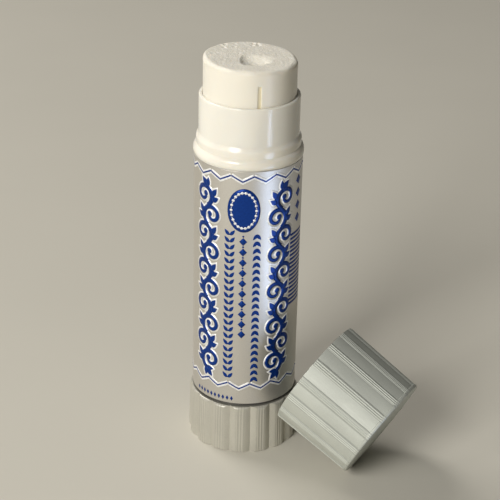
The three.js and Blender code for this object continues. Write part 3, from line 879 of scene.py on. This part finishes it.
class GLUESTICK_OT_barrel(bpy.types.Operator):
    """Builds the white barrel with its neck, bead, collar and guide ribs"""

    bl_idname = "glue_stick.barrel"
    bl_label = "Barrel"

    def execute(self, context):
        sizes = setting("barrel")
        outer = sizes.bore_radius + sizes.wall
        collar_bottom = film_high.z + sizes.collar_gap
        collar_top = collar_bottom + sizes.collar_height
        neck_top = collar_top + sizes.neck_height
        stop_top = film_low.z - sizes.seat_gap
        floor_top = sizes.floor_height + sizes.floor_thickness
        rounding = sizes.rim_rounding
        inner_rounding = rounding / 2
        foot = barrel_low.z
        profile = [
            (sizes.drive_hole_radius, sizes.floor_height),
            (sizes.bore_radius, sizes.floor_height),
            (sizes.bore_radius, foot),
            *arc((outer - rounding, foot + rounding), rounding, rounding, -90, 0, 5),
            *band(outer, -sizes.groove_depth, sizes.groove_height - sizes.groove_half,
                  sizes.groove_height + sizes.groove_half),
            *band(outer, sizes.stop_proud, stop_top - sizes.stop_thickness, stop_top),
            (outer, collar_bottom),
            *self.collar(sizes, outer, collar_bottom, collar_top),
            *arc((outer - rounding, neck_top - rounding), rounding, rounding, 0, 90, 8),
            *arc((sizes.bore_radius + inner_rounding, neck_top - inner_rounding),
                 inner_rounding, inner_rounding, 90, 180, 5),
            (sizes.bore_radius, floor_top),
            (sizes.drive_hole_radius, floor_top),
        ]
        reach = sizes.rib_depth + sizes.wall / 2
        ribs = [
            block("rib", sizes.bore_radius - sizes.rib_depth + reach / 2, (reach, sizes.rib_width),
                  floor_top - sizes.seat_gap, neck_top - sizes.rib_setback, sizes.rib_bearing + turn)
            for turn in (0, math.pi)
        ]
        mesh = joined("barrel_moulding", [lathe("shell", profile), *ribs])
        x, y, z = points_of(mesh).astype(float).T
        # Painted shade: the outer wall in the seam between the knob's top and the film is marked, and its
        # material darkens it.
        in_shaded_seam = (z > knob_high.z - 1 * MM) & (z < stop_top + NEAR) & (np.hypot(x, y) > outer - NEAR)
        store(mesh, "painted_seam_shade", in_shaded_seam)
        piece = new_object("barrel_moulding", mesh, glossy_polypropylene())
        place_in_frame(piece, "barrel", "white_moulding", "barrel")
        return {"FINISHED"}

    def collar(self, sizes, outer, bottom, top):
        """Part of the profile: the swelling collar, its round shoulder, the dip and the snap bead."""
        edge = 0.1 * MM
        shoulder = top - sizes.shoulder_height
        dip_radius = outer + sizes.bead_dip
        shoulder_reach = film_high.x + sizes.collar_proud - dip_radius
        swell = [
            (film_high.x + sizes.collar_proud * math.sin(math.pi / 2 * t),
             bottom + edge + (shoulder - bottom - edge) * t)
            for t in np.linspace(0, 0.95, 10)
        ]
        bead = []
        for t in np.linspace(-1, 1, 21):
            foot_radius = dip_radius if t < 0 else outer
            rise = (outer + sizes.bead_proud - foot_radius) * (1 + math.cos(math.pi * t)) / 2
            bead.append((foot_radius + rise, top + sizes.bead_height + sizes.bead_half_width * t))
        return [
            *arc((film_high.x - edge, bottom + edge), edge, edge, -90, -20, 4),
            *swell,
            *arc((dip_radius, shoulder), shoulder_reach, sizes.shoulder_height, 0, 64, 14),
            *bead,
        ]


class GLUESTICK_OT_film(bpy.types.Operator):
    """Builds the silver film sleeve"""

    bl_idname = "glue_stick.film"
    bl_label = "Film sleeve"

    def execute(self, context):
        radius = film_high.x
        wall, edge = 0.9 * MM, 0.12 * MM
        inner = radius - wall
        profile = [
            (inner, film_low.z),
            *arc((radius - edge, film_low.z + edge), edge, edge, -90, 0, 4),
            *[(radius, z) for z in np.linspace(film_low.z + 2 * edge, film_high.z - 2 * edge, 24)],
            *arc((radius - edge, film_high.z - edge), edge, edge, 0, 90, 4),
            (inner, film_high.z),
        ]
        piece = new_object("sleeve_film", lathe("sleeve_film", profile), satin_silver_film())
        place_in_frame(piece, "barrel", "silver_print", "printed_sleeve")
        return {"FINISHED"}


class GLUESTICK_OT_print(bpy.types.Operator):
    """Builds the two layers of ink: zigzag borders, leafy scrolls, an oval, lozenges and bars"""

    bl_idname = "glue_stick.print"
    bl_label = "Print"

    def execute(self, context):
        sizes, finishes = setting("print"), setting("finishes")
        radius = film_high.x
        ink_gap = 0.008 * MM
        white = ink("white_ink", finishes.white, silver_through=0.3)
        navy = ink("navy_ink", finishes.navy, silver_through=0.4)
        ring_half_width = 0.77 * sizes.medallion_half_width
        ring_half_height = 0.81 * sizes.medallion_half_height
        dots = dot_ring_motif(ring_half_width, ring_half_height, sizes.medallion_dots)
        layers = (
            ("print_white_ink", white, self.outlined(sizes, radius, sizes.outline)),
            ("print_navy_ink", navy, self.outlined(sizes, radius, 0.0) + self.plain(sizes, radius)),
            ("print_white_dots", white, [(dots, self.medallion_place(sizes, radius))]),
        )
        for level, (layer, material, motifs) in enumerate(layers):
            lift = ink_gap + level * (ink_gap + sizes.ink_thickness)
            piece = print_layer(layer, material, motifs, radius + lift)
            place_in_frame(piece, "barrel", "silver_print")
        return {"FINISHED"}

    def medallion_place(self, sizes, radius):
        """The oval's place at the front, and again on the far side."""
        start = (sizes.medallion_bearing * radius, sizes.medallion_height)
        return repeats(start, rows=2, row_step=(math.pi * radius, 0))

    def outlined(self, sizes, radius, grow):
        """Motifs with a white outline: zigzags and scrolls. Grown, they are the outline itself."""
        tooth = FULL_TURN * radius / sizes.zigzag_periods
        found = [(zigzag_motif(sizes, tooth, grow), repeats(
            (sizes.zigzag_bearing * radius, sizes.zigzag_bottom), sizes.zigzag_periods, (tooth, 0),
            2, (0, sizes.zigzag_top - sizes.zigzag_bottom)))]
        scroll_top = sizes.scroll_bottom + sizes.scroll_waves * sizes.scroll_period
        for side in (-1, 1):
            place = (sizes.medallion_bearing + side * sizes.scroll_spread) * radius
            again = {"rows": 2, "row_step": (side * (math.pi / 2) * radius, 0)}
            found.append((scroll_motif(sizes, grow, side < 0), repeats(
                (place, sizes.scroll_bottom), sizes.scroll_waves, (0, sizes.scroll_period), **again)))
            for height, angle in ((sizes.scroll_bottom, 225), (scroll_top, 45)):
                lean = math.radians(angle if side > 0 else 180 - angle)
                found.append((bud_motif(grow, lean), repeats((place, height), **again)))
        return found

    def plain(self, sizes, radius):
        """Motifs straight on the film: the oval, the narrow columns, the bars and the foot row."""
        middle, edge = sizes.medallion_bearing * radius, sizes.bar_bearing * radius
        spacing = sizes.column_spacing * radius
        both = {"rows": 2, "row_step": (math.pi * radius, 0)}
        lozenge_drop, edge_lozenge, bar_share, foot_pitch = 2.0 * MM, 1.5 * MM, 0.6, 1.35 * MM
        foot_lozenge = lozenge(0.45 * MM, 0.8 * MM)
        medallion = patch(oval(sizes.medallion_half_width, sizes.medallion_half_height), 6)
        return [
            (medallion, self.medallion_place(sizes, radius)),
            *[(sprig_motif(-side), repeats(
                (middle + side * spacing, sizes.column_top), sizes.sprig_count,
                (0, -sizes.sprig_pitch), **both)) for side in (-1, 1)],
            (lozenge_motif(), repeats(
                (middle, sizes.column_top - lozenge_drop), sizes.lozenge_count,
                (0, -sizes.lozenge_pitch), **both)),
            (bar_motif(sizes.bar_width, bar_share * sizes.bar_pitch), repeats(
                (edge, sizes.bar_bottom), sizes.bar_count, (0, sizes.bar_pitch))),
            (patch(lozenge(edge_lozenge, edge_lozenge)), repeats(
                (edge, sizes.edge_lozenge_bottom), sizes.edge_lozenge_count,
                (0, sizes.edge_lozenge_pitch))),
            (patch(foot_lozenge, 1), repeats(
                (sizes.foot_row_bearing * radius, sizes.foot_row_height), sizes.foot_row_count,
                (foot_pitch, 0))),
        ]


class GLUESTICK_OT_knob(bpy.types.Operator):
    """Builds the fluted knob with its snap rib, hub and socket"""

    bl_idname = "glue_stick.knob"
    bl_label = "Twist knob"

    def execute(self, context):
        sizes = setting("knob")
        height = knob_high.z
        lean = math.tan(sizes.draft)
        top_radius = sizes.base_radius - height * lean
        edge, foot = sizes.top_edge, sizes.foot_edge
        wall_foot, wall_end = 1.0 * MM, height - edge - 0.2 * MM
        underside_radius = sizes.base_radius - 3.2 * MM
        outer = [
            *arc((sizes.base_radius - foot, foot), foot, foot, -90, 0, 5),
            *[(sizes.base_radius - z * lean, z) for z in np.linspace(wall_foot, wall_end, 12)],
            *arc((top_radius - edge, height - edge), edge, edge, 0, 90, 12),
        ]
        snap_low = sizes.snap_height - sizes.snap_half
        snap_high = sizes.snap_height + sizes.snap_half
        inner = [
            (sizes.bore_radius, height),
            (sizes.bore_radius, snap_high + sizes.snap_proud),
            (sizes.bore_radius - sizes.snap_proud, snap_high),
            (sizes.bore_radius - sizes.snap_proud, snap_low),
            (sizes.bore_radius, snap_low - sizes.snap_proud),
            (sizes.bore_radius, sizes.floor),
            (0, sizes.floor),
            (0, 0),
            (underside_radius, 0),
        ]
        half_pitch = math.pi / sizes.ridges

        def depth(along, z):
            """Depth below the wall, by distance from the ridge's middle."""
            half = sizes.ridge_width / 2
            to_crease = half_pitch * sizes.base_radius - half
            valley = sizes.valley_depth * np.clip((np.abs(along) - half) / to_crease, 0, 1)
            return valley + fine_lines(along, half, sizes.line_depth, to_crease / 4)

        wall = [sizes.base_radius - z * lean for _, z in outer]
        sector = fluted_sector("knob", outer, wall, inner, half_pitch, sizes.ridge_width / 2, 0.0, depth)
        piece = repeat_sector("knob", sector, sizes.ridges)
        piece.data.transform(Matrix.Rotation(sizes.phase, 4, "Z"))
        material = silver_pigmented_moulding(
            "silver_pigmented_knob", setting("finishes").knob, roughness=0.28, line_highlight=0.15)
        mesh = joined("knob_moulding", [take_mesh(piece), self.hub(sizes)])
        store_local_place(mesh)
        store_painted_line_light(mesh, sizes.ridges, sizes.ridge_width / 2, 0.0, sizes.base_radius,
                          sizes.bore_radius, height - NEAR, sizes.phase)
        piece = new_object("knob_moulding", mesh, material)
        place_in_frame(piece, "knob", "silver_moulding", "twist_knob")
        return {"FINISHED"}

    def hub(self, sizes):
        """Tube with a hexagonal socket."""
        columns = 96
        angles = np.arange(columns) * FULL_TURN / columns
        flat = sizes.socket_radius * math.cos(math.pi / 6)
        to_middle = np.mod(angles, math.pi / 3) - math.pi / 6
        socket = flat / np.cos(to_middle)
        wall = np.full(columns, sizes.hub_radius)
        sunk = 0.1 * MM
        bottom = sizes.floor - sunk
        radii = np.stack([wall, wall, socket, socket])
        heights = np.array([bottom, sizes.hub_top, sizes.hub_top, bottom])[:, None]
        return grid_mesh("hub", turned_grid(radii, heights, angles), wrap_rows=True, wrap_columns=True)


def fine_lines(along, half, line_depth, flank):
    """Depth below the crest of the three fine rounded lines on a ridge, which ends in a flank."""
    pitch = 2 * half / 3
    crest = np.cos(math.pi * np.minimum(np.abs(along), half) / pitch) ** 4
    fade = 1 - np.clip((np.abs(along) - half) / flank, 0, 1)
    return line_depth * (1 - crest) * fade


def store_painted_line_light(mesh, ridges, ridge_half, flank, wall_radius, bore_radius, seam_height, phase=0.0):
    """Keeps for the material where the fine lines rise on the outer wall (1), where the flanks are
    (-1), and the faces over the seam's height (-2). The material paints a highlight on the crests
    and paints shade in the grooves, on the flanks and on those faces."""
    x, y, z = points_of(mesh).T
    pitch = FULL_TURN / ridges
    along = (np.mod(np.arctan2(y, x) - phase + pitch / 2, pitch) - pitch / 2) * wall_radius
    on_ridge = (np.hypot(x, y) > bore_radius) & (np.abs(along) < ridge_half)
    relief = np.where(on_ridge, 1 - 1.5 * fine_lines(along, ridge_half, 1.0, ridge_half), 0.0)
    relief[(np.abs(along) >= ridge_half) & (np.abs(along) < ridge_half + flank)] = -1
    # Painted shade on the knob's top face, in the seam under the film.
    relief[z > seam_height] = -2
    store(mesh, "painted_line_light", relief)


def fluted_sector(name, outer, wall, inner, half_pitch, ridge_half, flank, depth):
    """One sector of a fluted moulding: its outer rows sink below the wall by the depth."""
    radius = wall[0]
    ridge = np.linspace(-ridge_half, ridge_half, 43)
    shoulder = ridge_half + flank
    right = np.linspace(shoulder, half_pitch * radius, 7)
    if flank:
        right = np.concatenate([np.linspace(ridge_half, shoulder, 5)[1:-1], right])
    else:
        right = right[1:]
    along = np.concatenate([-right[::-1], ridge, right])
    rows = [row_of(along, np.minimum(r, wall_radius - depth(along, z)), z)
            for (r, z), wall_radius in zip(outer, wall)]
    rows += [row_of(along, r, z) for r, z in inner]
    grid = np.array(rows)
    return grid_mesh(name, turned_grid(grid[:, 0], grid[:, 1], along / radius), wrap_rows=True)


def repeat_sector(name, sector, copies):
    """Closes a moulding from copies of its sector round the axis."""
    tree = bpy.data.node_groups.get("Repeat round the axis") or round_axis_tree()
    weld(sector)
    seam = 0.002 * MM
    piece = new_object(name, sector)
    use_tree(piece, tree, {"Count": copies, "Seam": seam, "Material": None})
    return settle(piece, name)


class GLUESTICK_OT_cap(bpy.types.Operator):
    """Builds the fluted cap, leaning on the stick"""

    bl_idname = "glue_stick.cap"
    bl_label = "Cap"

    def execute(self, context):
        sizes = setting("cap")
        lean = math.tan(sizes.draft)
        closed_radius = sizes.rim_radius - sizes.length * lean
        edge_radius = closed_radius + sizes.edge_length * lean
        rim, setback = sizes.rim_edge, sizes.panel_setback
        step, wall_start, chamfer, tip_edge = 0.12 * MM, setback + 1.0 * MM, 0.5 * MM, 0.3 * MM
        wall_heights = [setback, setback + step, setback + 2 * step,
                        *np.linspace(wall_start, sizes.length - rim, 14)]
        outer = [
            *arc((edge_radius - sizes.edge_depth, sizes.edge_length), sizes.edge_depth, sizes.edge_length,
                 -90, 0, 14),
            *[(closed_radius + h * lean, h) for h in wall_heights],
            *arc((sizes.rim_radius - rim, sizes.length - rim), rim, rim, 20, 90, 5),
        ]

        def bore(height):
            """Radius of the bore at a height."""
            return sizes.bore_radius - (sizes.length - height) * math.tan(sizes.bore_draft)

        snap = sizes.length - sizes.snap_from_rim
        half = sizes.snap_half
        plug, tip, inside = sizes.plug_radius, sizes.plug_tip, sizes.top_thickness
        inner = [
            *arc((sizes.bore_radius + rim, sizes.length - rim), rim, rim, 90, 180, 5),
            *[(bore(snap + half * t) - sizes.snap_proud * math.cos(math.pi / 2 * t) ** 1.5, snap + half * t)
              for t in np.linspace(1, -1, 9)],
            (bore(inside + chamfer), inside + chamfer),
            (bore(inside) - chamfer, inside),
            (plug, inside),
            (plug, tip - tip_edge),
            (plug - tip_edge, tip),
            (plug - sizes.plug_wall, tip),
            (plug - sizes.plug_wall, inside),
            (0, inside),
            (0, 0),
        ]
        half_pitch = math.pi / sizes.ridges

        def depth(along, h):
            """Depth below the wall, by distance from the ridge's middle and height."""
            ridge_half = sizes.ridge_width / 2
            share = np.clip((np.abs(along) - ridge_half) / sizes.flank_width, 0, 1)
            panel = sizes.panel_depth * share * share * (3 - 2 * share)
            cut = np.clip((h - setback) / step, 0, 1)
            lines = fine_lines(along, ridge_half, sizes.line_depth, sizes.flank_width)
            return (panel + lines) * cut

        wall = [closed_radius + z * lean for _, z in outer]
        sector = fluted_sector("cap", outer, wall, inner, half_pitch, sizes.ridge_width / 2,
                               sizes.flank_width, depth)
        mesh = take_mesh(repeat_sector("cap_moulding", sector, sizes.ridges))
        store_local_place(mesh)
        store_painted_line_light(mesh, sizes.ridges, sizes.ridge_width / 2, sizes.flank_width, closed_radius,
                          sizes.bore_radius, 2 * sizes.length)
        turn = (Matrix.Rotation(sizes.axis_bearing, 4, "Z")
                @ Matrix.Rotation(math.pi / 2 - sizes.axis_rise, 4, "Y")
                @ Matrix.Rotation(sizes.roll, 4, "Z"))
        mesh.transform(Matrix.Translation(self.closed_face_centre(turn)) @ turn)
        material = silver_pigmented_moulding(
            "silver_pigmented_cap", setting("finishes").cap, roughness=0.5, line_highlight=0.6)
        piece = new_object("cap_moulding", mesh, material)
        place_in_frame(piece, "cap", "silver_moulding", "cap")
        return {"FINISHED"}

    def closed_face_centre(self, turn):
        """Middle of the closed face of the frame's cap."""
        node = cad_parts["cap"]
        corners = points_of(node.data).astype(float)
        along = corners @ np.array(turn.to_3x3().col[2])
        face = corners[along < along.min() + NEAR]
        return (face.max(axis=0) + face.min(axis=0)) / 2


def noise_at(x, y, scale, layer):
    """Smooth noise at each (x, y), from a layer of its own."""
    return np.array([noise.noise((a * scale, b * scale, layer)) for a, b in zip(x, y)])


class GLUESTICK_OT_adhesive(bpy.types.Operator):
    """Builds the cast adhesive with its worn top"""

    bl_idname = "glue_stick.adhesive"
    bl_label = "Adhesive"

    def execute(self, context):
        sizes = setting("adhesive")
        rib = setting("barrel").rib_bearing
        radius, rounding = sizes.radius, sizes.rounding
        columns, seat, worn_back, dent_depth = 300, 0.3 * MM, 0.06 * MM, 0.04 * MM
        groove_edge, groove_slope, groove_fade, top_setback = 0.1 * MM, 0.15 * MM, 0.6 * MM, 0.1 * MM
        near_groove = np.radians(np.concatenate([np.linspace(-3.6, -2.4, 7), np.linspace(2.4, 3.6, 7)]))
        angles = np.unique(np.concatenate([
            np.arange(columns) * FULL_TURN / columns,
            np.mod(rib + near_groove, FULL_TURN),
            np.mod(rib + math.pi + near_groove, FULL_TURN),
        ]).round(6))
        cosine, sine = np.cos(angles), np.sin(angles)
        side_bottom = sizes.cup_top + seat
        edge_lift = math.tan(sizes.tilt) * radius * np.cos(angles - sizes.tilt_bearing)
        drop = rounding * (1.0 + 0.5 * noise_at(cosine, sine, scale=3, layer=4.2))
        edge_height = sizes.top + edge_lift - drop

        across = np.abs(np.mod(angles - rib + math.pi / 2, math.pi) - math.pi / 2) * radius
        in_groove = np.clip((sizes.groove_width / 2 + groove_edge - across) / groove_slope, 0, 1)
        rows = [row_of(angles, r, z) for r, z in (
            (0, sizes.bore_top), (sizes.bore_radius, sizes.bore_top), (sizes.bore_radius, glue_low.z),
            (sizes.foot_radius, glue_low.z), (sizes.foot_radius, side_bottom),
        )]
        for share in np.concatenate([np.linspace(0, 0.94, 30), np.linspace(0.945, 1, 16)]):
            z = side_bottom + share * (edge_height - side_bottom)
            fade = np.clip((edge_height - z - sizes.groove_start) / groove_fade, 0, 1)
            dent = dent_depth * (1 + noise_at(cosine, sine, scale=4, layer=share * 9))
            rows.append(row_of(angles, radius - sizes.groove_depth * in_groove * fade - dent, z))
        for t in np.radians(np.linspace(12, 78, 7)):
            r = radius - worn_back - drop * (1 - math.cos(t))
            rows.append(row_of(angles, r, edge_height + drop * math.sin(t)))
        for r in (radius - rounding - top_setback) * np.linspace(1, 0, 84):
            rows.append(row_of(angles, r, self.top_height(sizes, r * cosine, r * sine)))
        grid = np.array(rows)
        mesh = grid_mesh("adhesive_stick", turned_grid(grid[:, 0], grid[:, 1], angles), wrap_columns=True)
        below_edge = grid[:, 1].ravel() < edge_height.min() - sizes.groove_start
        store(mesh, "rib_groove", np.tile(in_groove, len(rows)) * below_edge)
        weld(mesh, 1e-6)
        piece = new_object("adhesive_stick", mesh, cast_adhesive())
        place_in_frame(piece, "carrier", "adhesive", "glue")
        return {"FINISHED"}

    def top_height(self, sizes, x, y):
        """Height of the worn top: its lean, its dimple, grain and open bubbles."""
        lean = math.tan(sizes.tilt) * (x * math.cos(sizes.tilt_bearing) + y * math.sin(sizes.tilt_bearing))
        reach = sizes.dimple_radius * (1 + 0.35 * noise_at(x, y, scale=330, layer=8.3))
        from_x = (x - sizes.dimple_x) / reach
        from_y = (y - sizes.dimple_y) / reach
        steeper_front_left = 1 - 0.45 * (from_x + from_y)
        dimple = sizes.dimple_depth * np.clip(1 - from_x ** 2 - from_y ** 2, 0, 1) ** 1.4 * steeper_front_left
        coarse = noise_at(x, y, scale=250, layer=1.7) * 0.08
        fine = noise_at(x, y, scale=1100, layer=5.1) * 0.06
        grain = (coarse + fine) * MM
        random = np.random.default_rng(sizes.seed)
        pits = np.zeros_like(x)
        for _ in range(sizes.pit_count):
            near, size = self.from_bubble(random, x, y, sizes.radius, bearings=(0, 360), shares=(0, 0.93),
                                          radii=(0.15, 0.4))
            pits = np.maximum(pits, size * 0.3 * np.clip(1 - near ** 2, 0, 1))
        rims = np.zeros_like(x)
        for _ in range(sizes.bubble_count):
            near, size = self.from_bubble(random, x, y, sizes.radius, bearings=(72, 150), shares=(0.6, 0.9),
                                          radii=(0.35, 0.85))
            pits = np.maximum(pits, size * 0.3 * np.clip(1 - near ** 2, 0, 1) ** 0.6)
            rims = np.maximum(rims, size * 0.07 * np.exp(-((near - 1.1) / 0.16) ** 2))
        return np.minimum(sizes.top + lean - dimple + grain - pits + rims, glue_high.z)

    def from_bubble(self, random, x, y, radius, bearings, shares, radii):
        """Distance of each point from a random bubble, as a share of its radius, and that radius.
        The bubble lies at a bearing in degrees from +X and a share of the stick's radius."""
        angle = math.radians(random.uniform(*bearings))
        reach = radius * math.sqrt(random.uniform(shares[0] ** 2, shares[1] ** 2))
        size = random.uniform(*radii) * MM
        return np.hypot(x - reach * math.cos(angle), y - reach * math.sin(angle)) / size, size


class GLUESTICK_OT_inner_mouldings(bpy.types.Operator):
    """Gives the lead screw and the carrier their material"""

    bl_idname = "glue_stick.inner_mouldings"
    bl_label = "Inner mouldings"

    def execute(self, context):
        material = natural_polypropylene()
        for name in ("lead_screw", "carrier"):
            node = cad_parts[name]
            node.data.materials.clear()
            node.data.materials.append(material)
        return {"FINISHED"}


class GLUESTICK_OT_stage(bpy.types.Operator):
    """Builds the floor, the lamps, the world and the camera"""

    bl_idname = "glue_stick.stage"
    bl_label = "Stage"

    def execute(self, context):
        scene = context.scene
        sizes = setting("stage")
        self.floor(sizes)
        self.camera(scene, sizes)
        self.lamps()
        fill_colour, fill_strength = "f1efe8", 0.085
        world = bpy.data.worlds.new("soft_fill")
        world.use_nodes = True
        sky = world.node_tree.nodes["Background"].inputs
        sky["Color"].default_value = rgba(linear(fill_colour))
        sky["Strength"].default_value = fill_strength
        scene.world = world
        scene.view_settings.view_transform = "Standard"
        return {"FINISHED"}

    def floor(self, sizes):
        """Plain square floor."""
        half = sizes.floor_size / 2
        mesh = bpy.data.meshes.new("floor")
        mesh.from_pydata([(-half, -half, 0), (half, -half, 0), (half, half, 0), (-half, half, 0)], [],
                         [(0, 1, 2, 3)])
        mesh.materials.append(plain_floor())
        floor = bpy.data.objects.new("floor", mesh)
        bpy.context.scene.collection.objects.link(floor)

    def camera(self, scene, sizes):
        """Camera in front of the stick, above it and looking down."""
        pitch, yaw, roll = sizes.camera_pitch, sizes.camera_yaw, sizes.camera_roll
        ahead = np.array([math.sin(yaw) * math.cos(pitch), math.cos(yaw) * math.cos(pitch), -math.sin(pitch)])
        right = np.cross(ahead, [0, 0, 1])
        right /= np.linalg.norm(right)
        up = np.cross(right, ahead)
        side = math.cos(roll) * right + math.sin(roll) * up
        top = -math.sin(roll) * right + math.cos(roll) * up
        place = (0, -sizes.camera_distance, sizes.camera_height)
        camera = bpy.data.cameras.new("camera")
        camera.lens = sizes.lens
        camera.sensor_width = 36
        camera.clip_start = 0.01
        scene.camera = held("camera", camera, (side, top, -ahead), place)

    def lamps(self):
        """Soft lamps to the left of the camera and behind the stick, and a strip on the floor."""
        # Name, degrees to the left of the camera, degrees up, distance, size, power and colour
        soft_lamps = (
            ("window_light", 32, 27, 1.1, (0.4, 0.6), 10.0, "fffdf9"),
            ("window_pane", 58, 27, 1.1, (0.12, 0.14), 0.6, "fffdf9"),
            ("left_wall", 100, 18, 1.2, (1.2, 0.8), 1.0, "fff4e4"),
            ("back_window", 132, 50, 1.3, (0.5, 0.5), 7.4, "fffcf8"),
        )
        for lamp in soft_lamps:
            area_lamp(*lamp, aim=(0, 0, 70 * MM))
        floor_strip("floor_strip", toward=46, reach=(95 * MM, 520 * MM), width=48 * MM, power=0.5,
                    hex_colour="c6daff")


def held(name, data, axes, place):
    """Object at a place, with its X, Y and Z along three axes."""
    holder = bpy.data.objects.new(name, data)
    rows = [(*row, place[i]) for i, row in enumerate(zip(*axes))]
    holder.matrix_world = Matrix(rows + [(0, 0, 0, 1)])
    bpy.context.scene.collection.objects.link(holder)
    return holder


def rectangle_lamp(name, size, power, hex_colour, axes, place):
    """Rectangular lamp that the camera doesn't see."""
    lamp = bpy.data.lights.new(name, "AREA")
    lamp.shape = "RECTANGLE"
    lamp.size, lamp.size_y = size
    lamp.energy = power
    lamp.color = linear(hex_colour)
    holder = held(name, lamp, axes, place)
    holder.visible_camera = False
    return holder


def floor_strip(name, toward, reach, width, power, hex_colour):
    """Narrow lamp that lies on the floor and shines up, along a bearing. A wall that is seen from
    above mirrors the floor, so this is what draws the upright highlight on the neck and the film."""
    angle = math.radians(toward)
    middle = (reach[0] + reach[1]) / 2
    along = (math.sin(angle), -math.cos(angle), 0)
    across = (-along[1], along[0], 0)
    place = (middle * along[0], middle * along[1], 1 * MM)
    holder = rectangle_lamp(name, (width, reach[1] - reach[0]), power, hex_colour,
                            (across, along, (0, 0, -1)), place)
    holder.visible_diffuse = False


def area_lamp(name, left_of_camera, elevation, distance, size, power, hex_colour, aim):
    """Soft lamp at an angle to the left of the camera, aimed at a point."""
    turn, rise = math.radians(left_of_camera), math.radians(elevation)
    back = np.array([-math.sin(turn) * math.cos(rise), -math.cos(turn) * math.cos(rise), math.sin(rise)])
    right = np.cross([0, 0, 1], back)
    right /= np.linalg.norm(right)
    place = np.array(aim) + back * distance
    rectangle_lamp(name, size, power, hex_colour, (right, np.cross(back, right), back), place)


OPERATORS = (
    GLUESTICK_OT_barrel,
    GLUESTICK_OT_film,
    GLUESTICK_OT_print,
    GLUESTICK_OT_knob,
    GLUESTICK_OT_cap,
    GLUESTICK_OT_adhesive,
    GLUESTICK_OT_inner_mouldings,
    GLUESTICK_OT_stage,
)

GROUPS = {
    "barrel": BarrelSizes,
    "knob": KnobSizes,
    "cap": CapSizes,
    "adhesive": AdhesiveSizes,
    "print": PrintSizes,
    "finishes": Finishes,
    "stage": StageSizes,
}


class GLUESTICK_PT_panel(bpy.types.Panel):
    """Lists the pieces of the glue stick and their settings"""

    bl_label = "Glue Stick"
    bl_idname = "GLUESTICK_PT_panel"
    bl_space_type = "VIEW_3D"
    bl_region_type = "UI"
    bl_category = "Glue Stick"

    def draw(self, context):
        for operator in OPERATORS:
            self.layout.operator(operator.bl_idname)
        for group in GROUPS:
            box = self.layout.box()
            box.label(text=group.capitalize())
            settings = setting(group)
            for name in settings.bl_rna.properties.keys():
                if name not in ("rna_type", "name"):
                    box.prop(settings, name)


def register():
    """Adds the settings, the operators and the panel."""
    for group, settings in GROUPS.items():
        bpy.utils.register_class(settings)
        setattr(bpy.types.Scene, "glue_stick_" + group, bpy.props.PointerProperty(type=settings))
    for operator in OPERATORS:
        bpy.utils.register_class(operator)
    bpy.utils.register_class(GLUESTICK_PT_panel)


def unregister():
    """Takes them away again."""
    bpy.utils.unregister_class(GLUESTICK_PT_panel)
    for operator in reversed(OPERATORS):
        bpy.utils.unregister_class(operator)
    for group, settings in reversed(GROUPS.items()):
        delattr(bpy.types.Scene, "glue_stick_" + group)
        bpy.utils.unregister_class(settings)


def main():
    """Builds every piece in order."""
    register()
    for operator in OPERATORS:
        group, name = operator.bl_idname.split(".")
        getattr(getattr(bpy.ops, group), name)()


if __name__ == "__main__":
    main()
